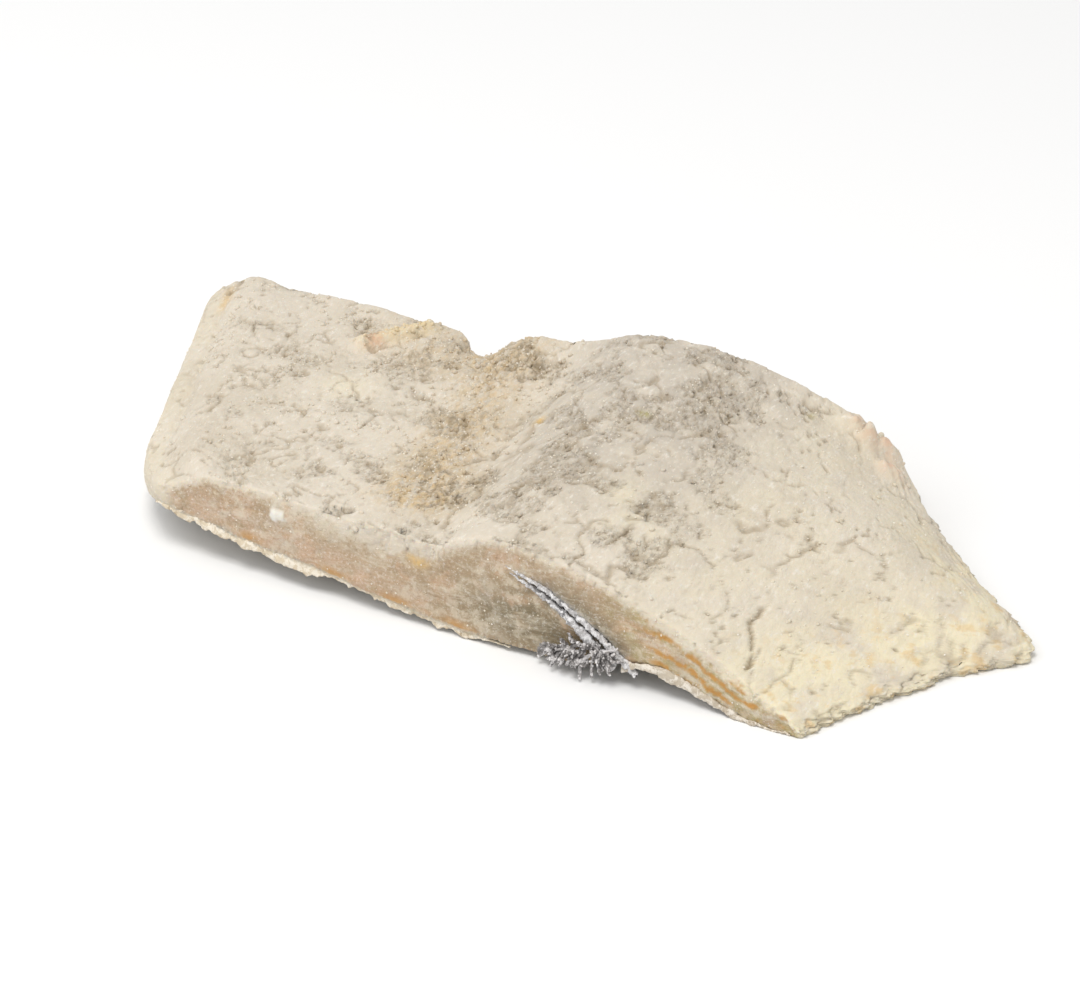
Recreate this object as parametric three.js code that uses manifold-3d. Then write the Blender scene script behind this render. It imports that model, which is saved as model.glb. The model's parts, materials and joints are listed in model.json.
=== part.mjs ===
// A slab of salted dried cod. The fish was split open along the belly, salted and dried flat, then sawn
// crosswise, so this slab lies with its skin down and its flesh up. The straight saw cut is the front.
// Units are millimetres and +Z is up. The slab is shaped in a working frame whose origin is the foot of the
// front left corner; the last step moves the origin to the middle of the underside.
import * as THREE from "three";
import { mergeVertices } from "three/addons/utils/BufferGeometryUtils.js";
import Module from "manifold-3d";

// Plan of the slab, seen from above.
const FRONT_LENGTH = 184; // the front saw cut, left corner to right corner
const DEPTH = 105; // front cut to back cut
const LEFT_FLARE = 49; // how far the left end runs out towards the back
const BELLY_TIP = new THREE.Vector2(218, 61); // the furthest point of the thin belly edge on the right
const BACK_RIGHT = new THREE.Vector2(158, 108); // where the belly edge meets the back cut
const NOTCH = { x: 38, depth: 6, width: 6 }; // the nick in the back cut, left of the backbone's place
const MOUND = { x: 58, height: 5, width: 13, reach: 20 }; // the raised patch between nick and groove
const SAW_WAVER = 0.5; // the saw cut strays this much from a straight line

// Heights of the flesh side.
const FLAP_TOP = { front: 26.5, back: 22 }; // the flat left-hand flap
const CREST_TOP = { front: 32.5, back: 36.5 }; // the crown of the thick loin
const CREST_DOME = 1.2; // how much the crown swells between the two cuts
const CREASE = { front: 82, back: 61, depth: 1, width: 6 }; // the groove that the backbone left
const CREST = { front: 104, back: 90 }; // where the crown runs, along x
const SHOULDER = { front: 1.6, back: 2.6 }; // how long the loin stays full before it thins out
const BELLY_EDGE = 3; // thickness of the thin edge on the right
const CORNER_RISE = 17; // the back right corner stands this much thicker
const LEFT_ROLL = { drop: 6.5, width: 17 }; // the flap's rounded left rim
const LUMP = 0.7; // height of the slow lumps of dried flesh

// Heights of the skin side, above the surface that the slab lies on.
const FLAP_LIFT = { height: 13, reach: 105, fade: 24 }; // the front left corner curls up
const RIM_LIFT = { height: 7, width: 42 }; // and so does the whole left rim
const ARCH = { x: 144, height: 8, width: 15, fade: 20 }; // the hollow under the front of the belly flap
const SADDLE = { height: 2, from: 4, to: 60, fade: 12 }; // clearance under the whole front cut
const WEIGHT_DIP = 1; // the slab's own weight presses the skin this much flatter

// Roundness of the side walls: how far each bulges at half height.
const BULGE = { left: 1.8, right: 0.8, cut: 0.4 };

// The stub of the dorsal fin, and the fold of skin that runs from it up into the front cut.
const FOLD = { start: [103, 22], end: [137, 8], depth: 1.6, width: 1.5, fade: [10, 4] };
const FIN = { x: 114, length: 18, rays: 8, base: 3.4, tip: 1.2, reach: 5, root: 4, lift: 5 };
const FIN_FAN = { left: -0.5, right: 0.35, droop: 0.12, climb: 3 };

// Mesh density along the length, the depth and the thickness.
const CELLS = { u: 56, v: 24, w: 4 };

const { lerp, clamp, smoothstep } = THREE.MathUtils;
const bell = (distance, width) => Math.exp(-((distance / width) ** 2));

// The four sides of the plan. Each runs from 0 to 1: left to right, or front to back.
const leftEnd = new THREE.SplineCurve([
  new THREE.Vector2(0, 0),
  new THREE.Vector2(-0.25 * LEFT_FLARE, 0.13 * DEPTH),
  new THREE.Vector2(-0.49 * LEFT_FLARE, 0.4 * DEPTH),
  new THREE.Vector2(-LEFT_FLARE, DEPTH),
]);
const rightEnd = new THREE.SplineCurve([
  new THREE.Vector2(FRONT_LENGTH, 0),
  new THREE.Vector2(lerp(FRONT_LENGTH, BELLY_TIP.x, 0.24), 0.3 * BELLY_TIP.y),
  new THREE.Vector2(lerp(FRONT_LENGTH, BELLY_TIP.x, 0.62), 0.7 * BELLY_TIP.y),
  BELLY_TIP,
  BELLY_TIP.clone().lerp(BACK_RIGHT, 0.42).addScalar(1),
  BACK_RIGHT,
]);

function frontCut(u) {
  return new THREE.Vector2(FRONT_LENGTH * u, SAW_WAVER * Math.sin(9 * u + 1));
}

function backCut(u) {
  const x = lerp(-LEFT_FLARE, BACK_RIGHT.x, u);
  const nick = NOTCH.depth * bell(x - NOTCH.x, NOTCH.width);
  return new THREE.Vector2(x, lerp(DEPTH, BACK_RIGHT.y, u) - nick);
}

// A point of the plan between the four sides (a Coons patch), with the two ends of its row.
function plan(u, v) {
  const left = leftEnd.getPointAt(v);
  const right = rightEnd.getPointAt(v);
  const frontBack = frontCut(u).lerp(backCut(u), v);
  const leftRight = left.clone().lerp(right, u);
  const frontCorners = frontCut(0).lerp(frontCut(1), u);
  const backCorners = backCut(0).lerp(backCut(1), u);
  const point = frontBack.add(leftRight).sub(frontCorners.lerp(backCorners, v));
  return { x: point.x, y: point.y, left: left.x, right: right.x };
}

// Slow lumps that dried flesh shows, between -1 and 1.
const lumps = (x, y) =>
  0.5 * Math.sin(x / 11 + 1.7 * Math.sin(y / 17)) * Math.cos(y / 13 - 0.6) +
  0.5 * Math.sin(x / 6.1 - y / 8.3 + 2) * Math.sin(y / 7.4 + x / 19);

// Height of the flesh side right of the crown, where the loin thins out into the belly.
function bellyHeight(at, v, crest, crestTop) {
  const out = clamp((at.x - crest) / (at.right - crest), 0, 1);
  const edge = BELLY_EDGE + CORNER_RISE * v ** 6;
  const shoulder = lerp(SHOULDER.front, SHOULDER.back, v ** 3);
  return lerp(crestTop, edge, out ** shoulder) + LUMP * lumps(at.x, at.y) * (1 - out);
}

// Height of the flesh side left of the crown: the flap, and the rise from it across the groove.
function flapHeight(at, v, crest, crestTop) {
  const crease = lerp(CREASE.front, CREASE.back, v);
  const rise = smoothstep(at.x, crease - CREASE.width, crest);
  const flat = lerp(lerp(FLAP_TOP.front, FLAP_TOP.back, v), crestTop, rise);
  const roll = LEFT_ROLL.drop * (1 - smoothstep(at.x - at.left, 0, LEFT_ROLL.width));
  const groove = CREASE.depth * bell(at.x - crease, CREASE.width);
  const mound = MOUND.height * bell(at.x - MOUND.x, MOUND.width) * bell(at.y - DEPTH, MOUND.reach);
  const nick = NOTCH.depth * bell(at.x - NOTCH.x, NOTCH.width) * bell(at.y - DEPTH, 1.5 * NOTCH.width);
  return flat + mound - roll - groove - nick + LUMP * lumps(at.x, at.y);
}

function topHeight(at, v) {
  const crest = lerp(CREST.front, CREST.back, v);
  const crestTop = lerp(CREST_TOP.front, CREST_TOP.back, v) + CREST_DOME * Math.sin(Math.PI * v);
  return at.x > crest ? bellyHeight(at, v, crest, crestTop) : flapHeight(at, v, crest, crestTop);
}

// Height of the skin side. It is flat where the slab's weight rests.
function skinHeight(at) {
  const inward = (fade) => Math.exp(-at.y / fade);
  const curl = FLAP_LIFT.height * clamp(1 - at.x / FLAP_LIFT.reach, 0, 1) ** 1.3 * inward(FLAP_LIFT.fade);
  const rim = RIM_LIFT.height * (1 - smoothstep(at.x - at.left, 0, RIM_LIFT.width));
  const arch = ARCH.height * bell(at.x - ARCH.x, ARCH.width) * inward(ARCH.fade);
  const saddle = SADDLE.height * smoothstep(at.right - at.x, SADDLE.from, SADDLE.to) * inward(SADDLE.fade);
  const uneven = LUMP * lumps(at.x + DEPTH, at.y) - WEIGHT_DIP;
  return Math.max(0, Math.max(curl, rim) + arch + saddle + uneven);
}

// How far a side wall stands out at share w of its height: rounded ends, flat cuts.
function sideBulge(u, v, w) {
  const round = Math.sin(Math.PI * w);
  if (u === 0) return { x: -BULGE.left * round, y: 0 };
  if (u === 1) return { x: BULGE.right * round, y: 0 };
  return { x: 0, y: v === 0 ? -BULGE.cut * round : BULGE.cut * round };
}

// The fold of skin, sunk into the front cut as a slim groove.
function foldDepth(x, z) {
  const [x0, z0] = FOLD.start;
  const [x1, z1] = FOLD.end;
  const length = Math.hypot(x1 - x0, z1 - z0);
  const along = ((x - x0) * (x1 - x0) + (z - z0) * (z1 - z0)) / length;
  const aside = ((x - x0) * (z1 - z0) - (z - z0) * (x1 - x0)) / length;
  const inside = smoothstep(along, 0, FOLD.fade[0]) * (1 - smoothstep(along, length - FOLD.fade[1], length));
  return FOLD.depth * inside * bell(aside, FOLD.width);
}

// A box's surface, with each vertex carried from the unit box to its place on the slab.
function slabGeometry() {
  const box = new THREE.BoxGeometry(1, 1, 1, CELLS.u, CELLS.v, CELLS.w);
  const position = box.getAttribute("position");
  for (let i = 0; i < position.count; i += 1) {
    const u = position.getX(i) + 0.5;
    const v = position.getY(i) + 0.5;
    const w = position.getZ(i) + 0.5;
    const at = plan(u, v);
    const bottom = skinHeight(at);
    const top = Math.max(topHeight(at, v), bottom + BELLY_EDGE);
    const z = lerp(bottom, top, w);
    const bulge = sideBulge(u, v, w);
    const sunk = v === 0 && w > 0 && w < 1 ? foldDepth(at.x, z) : 0;
    position.setXYZ(i, at.x + bulge.x, at.y + bulge.y + sunk, z);
  }
  return box;
}

// The fin's rays, cut short and fanned out to the front. Each is a slim cone rooted in the flesh.
function finRays() {
  const rays = [];
  for (let i = 0; i < FIN.rays; i += 1) {
    const share = i / (FIN.rays - 1);
    const reach = FIN.reach * (0.8 + 0.2 * Math.sin(5 * i));
    const ray = new THREE.CylinderGeometry(FIN.tip / 2, FIN.base / 2, FIN.root + reach, 6);
    ray.rotateZ(Math.PI + lerp(FIN_FAN.left, FIN_FAN.right, share));
    ray.rotateX(FIN_FAN.droop);
    ray.translate(FIN.x + FIN.length * share, (FIN.root - reach) / 2, FIN.lift - FIN.base / 2);
    ray.translate(0, 0, FIN_FAN.climb * share);
    rays.push(ray);
  }
  return rays;
}

const wasm = await Module();
wasm.setup();

// A closed geometry as a solid that can be joined.
function solidFrom(geometry) {
  const bare = geometry.clone();
  bare.deleteAttribute("normal");
  bare.deleteAttribute("uv");
  const merged = mergeVertices(bare, 1e-4);
  const vertProperties = new Float32Array(merged.getAttribute("position").array);
  const triVerts = new Uint32Array(merged.index.array);
  return new wasm.Manifold(new wasm.Mesh({ numProp: 3, vertProperties, triVerts }));
}

function geometryFrom(solid) {
  const mesh = solid.getMesh();
  const geometry = new THREE.BufferGeometry();
  geometry.setAttribute("position", new THREE.BufferAttribute(mesh.vertProperties, 3));
  geometry.setIndex(new THREE.BufferAttribute(mesh.triVerts, 1));
  geometry.computeVertexNormals();
  return geometry;
}

const joined = finRays().reduce((solid, ray) => solid.add(solidFrom(ray)), solidFrom(slabGeometry()));
const geometry = geometryFrom(joined);
geometry.computeBoundingBox();
const { min, max } = geometry.boundingBox;
geometry.translate(-(min.x + max.x) / 2, -(min.y + max.y) / 2, -min.z);

const driedFlesh = new THREE.MeshStandardMaterial({ color: 0xd9ccb0, roughness: 0.85, metalness: 0 });
const slab = new THREE.Mesh(geometry, driedFlesh);
slab.name = "cod_slab";

const part = new THREE.Group();
part.add(slab);

export default part;
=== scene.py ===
"""Looks of a slab of salted dried cod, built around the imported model.

The slab was sawn crosswise from a cod that was split, salted and dried flat. It lies with its skin down.
Its flesh side carries a crust of salt, its two saw cuts show amber flesh, and a fold of skin with the stub
of the dorsal fin runs up into the front cut. Shapes are worked out in millimetres, in a working frame whose
origin is the foot of the front left corner, and are carried into the model's frame in metres at the end.
Bare whole numbers passed to the noise calls are seeds: each picks a pattern.
"""
import json
import logging
import math
from dataclasses import dataclass, field
from enum import Enum

import bmesh
import bpy
import numpy as np
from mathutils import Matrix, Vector, noise

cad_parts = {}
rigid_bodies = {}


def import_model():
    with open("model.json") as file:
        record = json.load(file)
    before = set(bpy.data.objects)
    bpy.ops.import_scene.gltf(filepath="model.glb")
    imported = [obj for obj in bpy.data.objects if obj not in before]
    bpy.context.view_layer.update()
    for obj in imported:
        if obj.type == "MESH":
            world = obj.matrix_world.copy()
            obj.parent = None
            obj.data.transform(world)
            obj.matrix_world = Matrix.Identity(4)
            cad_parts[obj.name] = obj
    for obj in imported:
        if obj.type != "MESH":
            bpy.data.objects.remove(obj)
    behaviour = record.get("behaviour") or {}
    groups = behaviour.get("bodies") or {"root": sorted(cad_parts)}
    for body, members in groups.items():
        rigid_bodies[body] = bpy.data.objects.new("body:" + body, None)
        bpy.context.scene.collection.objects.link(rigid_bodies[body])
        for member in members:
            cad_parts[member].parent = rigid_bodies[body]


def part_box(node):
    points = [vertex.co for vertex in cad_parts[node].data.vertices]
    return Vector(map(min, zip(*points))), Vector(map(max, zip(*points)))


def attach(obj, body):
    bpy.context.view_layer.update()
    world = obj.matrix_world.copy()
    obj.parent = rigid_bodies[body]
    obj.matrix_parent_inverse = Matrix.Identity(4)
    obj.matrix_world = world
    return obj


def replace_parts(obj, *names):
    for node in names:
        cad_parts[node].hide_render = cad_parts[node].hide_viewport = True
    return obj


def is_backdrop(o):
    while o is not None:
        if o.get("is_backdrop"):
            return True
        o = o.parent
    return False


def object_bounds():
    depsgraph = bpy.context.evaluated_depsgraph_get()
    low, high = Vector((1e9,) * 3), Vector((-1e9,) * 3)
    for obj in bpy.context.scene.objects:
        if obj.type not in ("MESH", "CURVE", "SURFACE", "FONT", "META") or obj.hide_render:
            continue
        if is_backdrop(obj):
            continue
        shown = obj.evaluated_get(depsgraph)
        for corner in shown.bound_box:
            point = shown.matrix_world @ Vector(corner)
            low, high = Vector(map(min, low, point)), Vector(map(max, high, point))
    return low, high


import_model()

log = logging.getLogger("cod_slab")
MM = 0.001
NODE = "cod_slab"
BODY = "root"

Colour = tuple[float, float, float]
Place = tuple[float, float]
Array = np.ndarray
Socket = bpy.types.NodeSocket
Piece = bpy.types.Object
Material = bpy.types.Material


# ---- small maths ----


def smooth(x: Array, low: float, high: float) -> Array:
    """Rises smoothly from 0 at low to 1 at high."""
    t = np.clip((x - low) / (high - low), 0.0, 1.0)
    return t * t * (3.0 - 2.0 * t)


def bell(distance: Array, width: float) -> Array:
    """A bell curve of height 1."""
    return np.exp(-((distance / width) ** 2))


def mix(a: Array, b: Array, t: Array) -> Array:
    """Goes from a to b as t goes from 0 to 1."""
    return a + (b - a) * t


def between(x: Array, start: float, full: float, fading: float, end: float) -> Array:
    """Rises smoothly from 0 at start to 1 at full, and falls back from fading to end."""
    return smooth(x, start, full) * (1 - smooth(x, fading, end))


def spot(x: Array, y: Array, place: Place, radius: float, stretch: float = 1.0) -> Array:
    """A soft spot of height 1 at a place, stretched along x."""
    return bell(np.hypot((x - place[0]) / stretch, y - place[1]), radius)


def along_cut(x: Array) -> Array:
    """Points at x along the foot of the front cut."""
    return np.stack([x, np.zeros_like(x), np.zeros_like(x)], axis=1)


def fibres(points: Array, scale: float, seed: int, octaves: int = 4, rough: float = 0.6) -> Array:
    """Soft fractal noise.

    Args:
        points: one row for each point, in millimetres.
        scale: size of the largest lumps, in millimetres.
        seed: picks the pattern.
        octaves: how many finer layers are added.
        rough: how strong each finer layer is.

    Returns:
        Values of about -1 to 1, one for each point.
    """
    shift = Vector((seed * 17.3, seed * -9.1, seed * 5.7))
    lacunarity = 2.03
    gain = -math.log(rough) / math.log(lacunarity)
    inverse = 1.0 / scale
    rows = points.tolist()
    return np.array([noise.fractal(Vector(p) * inverse + shift, gain, lacunarity, octaves) for p in rows])


def clumps(points: Array, scale: float, seed: int, octaves: int = 3) -> Array:
    """Rounded lumps with sharp creases between them.

    Args:
        points: one row for each point, in millimetres.
        scale: size of the largest lumps, in millimetres.
        seed: picks the pattern.
        octaves: how many finer layers are added.

    Returns:
        Values from 0 in the creases to about 1 on the lumps.
    """
    shift = Vector((seed * -7.7, seed * 13.9, seed * 3.1))
    inverse = 1.0 / scale
    rows = points.tolist()
    return np.array([noise.turbulence(Vector(p) * inverse + shift, octaves, True) for p in rows])


def slanted(points: Array, degrees: float, stretch: float) -> Array:
    """The points turned and squeezed in plan, so that patterns on them run along a slant.

    Args:
        points: one row for each point, in millimetres.
        degrees: the direction of the slant.
        stretch: how much longer patterns become along it.

    Returns:
        The turned and squeezed points.
    """
    turn = math.radians(degrees)
    along = (points[:, 0] * math.cos(turn) + points[:, 1] * math.sin(turn)) / stretch
    across = points[:, 1] * math.cos(turn) - points[:, 0] * math.sin(turn)
    return np.stack([along, across, points[:, 2]], axis=1)


@dataclass(frozen=True)
class Cells:
    """What scattered points say about other points."""

    near: Array
    gap: Array
    share: Array

    def domes(self, scale: float) -> Array:
        """A rounded crumb of random height on each scattered point."""
        return (0.35 + 0.65 * self.share) * np.clip(1 - (self.near / (0.72 * scale)) ** 2, 0, 1)

    def cracks(self, width: float) -> Array:
        """A net of cracks halfway between the scattered points."""
        return 1 - smooth(self.gap, 0, width)


def cells(points: Array, scale: float, seed: int) -> Cells:
    """Scattered points, as distances.

    Args:
        points: one row for each point, in millimetres.
        scale: mean distance between the scattered points, in millimetres.
        seed: picks the pattern.

    Returns:
        The distance to the nearest scattered point, how much farther the next one is, both in millimetres,
        and a random share for the nearest one.
    """
    shift = Vector((seed * 3.3, seed * 8.1, seed * -4.9))
    inverse = 1.0 / scale
    found = np.empty((len(points), 3))
    for i, p in enumerate(points.tolist()):
        distances, centres = noise.voronoi(Vector(p) * inverse + shift)
        found[i] = distances[0], distances[1], noise.cell(centres[0] * 7.3)
    return Cells(found[:, 0] * scale, (found[:, 1] - found[:, 0]) * scale, found[:, 2])


def shaken(points: Array, scale: float, seed: int, octaves: int, rough: float = 0.6) -> Array:
    """Soft noise as a vector for each point, with its arguments as for fibres."""
    return np.stack([fibres(points, scale, seed + k, octaves, rough) for k in range(3)], axis=1)


def warped(points: Array, scale: float, reach: float, seed: int) -> Array:
    """The points, pushed about by slow noise so that patterns on them lose their regularity."""
    return points + reach * shaken(points, scale, seed, 2)


# ---- the form ----


@dataclass(frozen=True)
class Swell:
    """A bump or a dip on the slab, in millimetres."""

    x: float
    height: float
    width: float
    reach: float


@dataclass(frozen=True)
class FrontBack:
    """A size that changes from the front cut to the back cut."""

    front: float
    back: float

    def at(self, v: Array) -> Array:
        """The size at share v of the depth."""
        return mix(self.front, self.back, v)


def catmull_rom(points: list[Place], share: Array) -> Array:
    """Points of a smooth curve, evenly spaced along it.

    Args:
        points: the points that the curve passes through.
        share: how far along the curve each wanted point lies, from 0 to 1.

    Returns:
        One x, y row for each share.
    """
    knots = np.array(points, float)
    padded = np.vstack([knots[:1], knots, knots[-1:]])

    def evaluate(t: Array) -> Array:
        """The curve at parameter t.

        Args:
            t: parameters from 0 to 1.

        Returns:
            One x, y row for each parameter.
        """
        s = np.clip(t, 0.0, 1.0) * (len(knots) - 1)
        k = np.minimum(s.astype(int), len(knots) - 2)
        f = (s - k)[:, None]
        p0, p1, p2, p3 = (padded[k + n] for n in range(4))
        m1, m2 = (p2 - p0) / 2, (p3 - p1) / 2
        cubic = (2 * p1 - 2 * p2 + m1 + m2) * f**3 + (-3 * p1 + 3 * p2 - 2 * m1 - m2) * f**2
        return cubic + m1 * f + p1

    steps = np.linspace(0.0, 1.0, 201)
    walked = np.concatenate([[0.0], np.cumsum(np.linalg.norm(np.diff(evaluate(steps), axis=0), axis=1))])
    return evaluate(np.interp(np.asarray(share) * walked[-1], walked, steps))


@dataclass(frozen=True)
class SlabForm:
    """The slab's plain shape, with the driving sizes of the solid model, in millimetres."""

    front_length: float = 184.0
    depth: float = 105.0
    left_flare: float = 49.0
    belly_tip: Place = (218.0, 61.0)
    back_right: Place = (158.0, 108.0)
    notch: Swell = Swell(38.0, 5.0, 5.5, 9.0)
    mound: Swell = Swell(58.0, 5.0, 13.0, 20.0)
    saw_waver: float = 0.5
    flap_top: FrontBack = FrontBack(26.5, 22.0)
    crest_top: FrontBack = FrontBack(32.5, 36.5)
    crest_dome: float = 1.2
    crease: FrontBack = FrontBack(82.0, 61.0)
    crease_depth: float = 1.0
    crease_width: float = 6.0
    crest: FrontBack = FrontBack(104.0, 90.0)
    shoulder: FrontBack = FrontBack(1.6, 2.6)
    belly_edge: float = 3.0
    corner_rise: float = 17.0
    roll_drop: float = 6.5
    roll_width: float = 17.0
    lump: float = 0.7
    curl: Swell = Swell(105.0, 13.0, 1.3, 24.0)
    rim_lift: float = 7.0
    rim_width: float = 42.0
    arch: Swell = Swell(144.0, 8.0, 15.0, 20.0)
    saddle: float = 2.0
    saddle_fade: float = 12.0
    weight_dip: float = 1.0
    bulge_left: float = 1.8
    bulge_right: float = 0.8
    bulge_cut: float = 0.4

    def left_end(self, v: Array) -> Array:
        """The left end's outline, from front to back.

        Args:
            v: shares of the depth, from front to back.

        Returns:
            One x, y row for each share.
        """
        flare, depth = self.left_flare, self.depth
        knots = [(0, 0), (-0.25 * flare, 0.13 * depth), (-0.49 * flare, 0.4 * depth), (-flare, depth)]
        return catmull_rom(knots, v)

    def right_end(self, v: Array) -> Array:
        """The thin belly edge's outline, from front to back.

        Args:
            v: shares of the depth, from front to back.

        Returns:
            One x, y row for each share.
        """
        (tip_x, tip_y), (back_x, back_y), length = self.belly_tip, self.back_right, self.front_length
        knots = [
            (length, 0),
            (mix(length, tip_x, 0.24), 0.3 * tip_y),
            (mix(length, tip_x, 0.62), 0.7 * tip_y),
            (tip_x, tip_y),
            (mix(tip_x, back_x, 0.42) + 1, mix(tip_y, back_y, 0.42) + 1),
            (back_x, back_y),
        ]
        return catmull_rom(knots, v)

    def front_cut(self, u: Array) -> Array:
        """The front saw cut's line, from left to right."""
        return np.stack([self.front_length * u, self.saw_waver * np.sin(9 * u + 1)], axis=-1)

    def back_cut(self, u: Array) -> Array:
        """The back saw cut's line, from left to right, with its nick.

        Args:
            u: shares of the length, from left to right.

        Returns:
            One x, y row for each share.
        """
        x = mix(-self.left_flare, self.back_right[0], u)
        nick = self.notch.height * bell(x - self.notch.x, self.notch.width)
        return np.stack([x, mix(self.depth, self.back_right[1], u) - nick], axis=-1)

    def plan(self, u: Array, v: Array) -> tuple[Array, Array, Array, Array]:
        """Places shares of the length and depth on the plan.

        Args:
            u: shares of the length, from left to right.
            v: shares of the depth, from front to back.

        Returns:
            x, y, and the x of the left and right end of each point's row.
        """
        left, right = self.left_end(v), self.right_end(v)
        sides = mix(left, right, u[:, None])
        cuts = mix(self.front_cut(u), self.back_cut(u), v[:, None])
        ends = np.array([0.0, 1.0])
        (f0, f1), (b0, b1) = self.front_cut(ends), self.back_cut(ends)
        corners = mix(mix(f0, f1, u[:, None]), mix(b0, b1, u[:, None]), v[:, None])
        point = cuts + sides - corners
        return point[:, 0], point[:, 1], left[:, 0], right[:, 0]

    @staticmethod
    def lumps(x: Array, y: Array) -> Array:
        """Slow lumps of dried flesh, between -1 and 1.

        Args:
            x: places along the slab.
            y: places across it.

        Returns:
            The height of the lumps, as a share.
        """
        first = np.sin(x / 11 + 1.7 * np.sin(y / 17)) * np.cos(y / 13 - 0.6)
        second = np.sin(x / 6.1 - y / 8.3 + 2) * np.sin(y / 7.4 + x / 19)
        return 0.5 * first + 0.5 * second

    def top(self, x: Array, y: Array, v: Array, left: Array, right: Array) -> Array:
        """Height of the flesh side.

        Args:
            x: places along the slab.
            y: places across it.
            v: shares of the depth.
            left: x of each row's left end.
            right: x of each row's right end.

        Returns:
            z of the flesh side.
        """
        crest, crease = self.crest.at(v), self.crease.at(v)
        crown = self.crest_top.at(v) + self.crest_dome * np.sin(math.pi * v)
        wave = self.lump * self.lumps(x, y)
        out = np.clip((x - crest) / (right - crest), 0, 1)
        edge = self.belly_edge + self.corner_rise * v**6
        belly = mix(crown, edge, out ** self.shoulder.at(v**3)) + wave * (1 - out)
        rise = smooth(x, crease - self.crease_width, crest)
        roll = self.roll_drop * (1 - smooth(x - left, 0, self.roll_width))
        groove = self.crease_depth * bell(x - crease, self.crease_width)
        mound, nick = (
            swell.height * bell(x - swell.x, swell.width) * bell(y - self.depth, swell.reach)
            for swell in (self.mound, self.notch)
        )
        flap = mix(self.flap_top.at(v), crown, rise) + mound - roll - groove - nick + wave
        return np.where(x > crest, belly, flap)

    def skin(self, x: Array, y: Array, left: Array, right: Array) -> Array:
        """Height of the skin side, flat where the weight rests.

        Args:
            x: places along the slab.
            y: places across it.
            left: x of each row's left end.
            right: x of each row's right end.

        Returns:
            z of the skin side.
        """
        share = np.clip(1 - x / self.curl.x, 0, None)
        curl = self.curl.height * np.clip(share, 0, 1) ** self.curl.width * np.exp(-y / self.curl.reach)
        rim = self.rim_lift * (1 - smooth(x - left, 0, self.rim_width))
        arch = self.arch.height * bell(x - self.arch.x, self.arch.width) * np.exp(-y / self.arch.reach)
        saddle = self.saddle * smooth(right - x, 4, 60) * np.exp(-y / self.saddle_fade)
        uneven = self.lump * self.lumps(x + self.depth, y) - self.weight_dip
        return np.maximum(0, np.maximum(curl, rim) + arch + saddle + uneven)


FORM = SlabForm()


@dataclass
class Placing:
    """Carries points from the working frame, in millimetres, to the model's frame, in metres."""

    low: Vector
    high: Vector
    shift: Array = field(default_factory=lambda: np.zeros(3))

    def fit(self, points: Array) -> None:
        """Lines the working frame up with the solid: its left end and its back cut are the outermost.

        Args:
            points: the plain form, in the working frame.
        """
        self.shift = np.array(
            [self.low.x / MM - points[:, 0].min(), self.high.y / MM - points[:, 1].max(), self.low.z / MM]
        )

    def metres(self, points: Array) -> Array:
        """The points in metres, kept inside the solid's box."""
        moved = (points + self.shift) * MM
        return np.clip(moved, np.array(self.low), np.array(self.high))


# ---- materials ----


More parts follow.
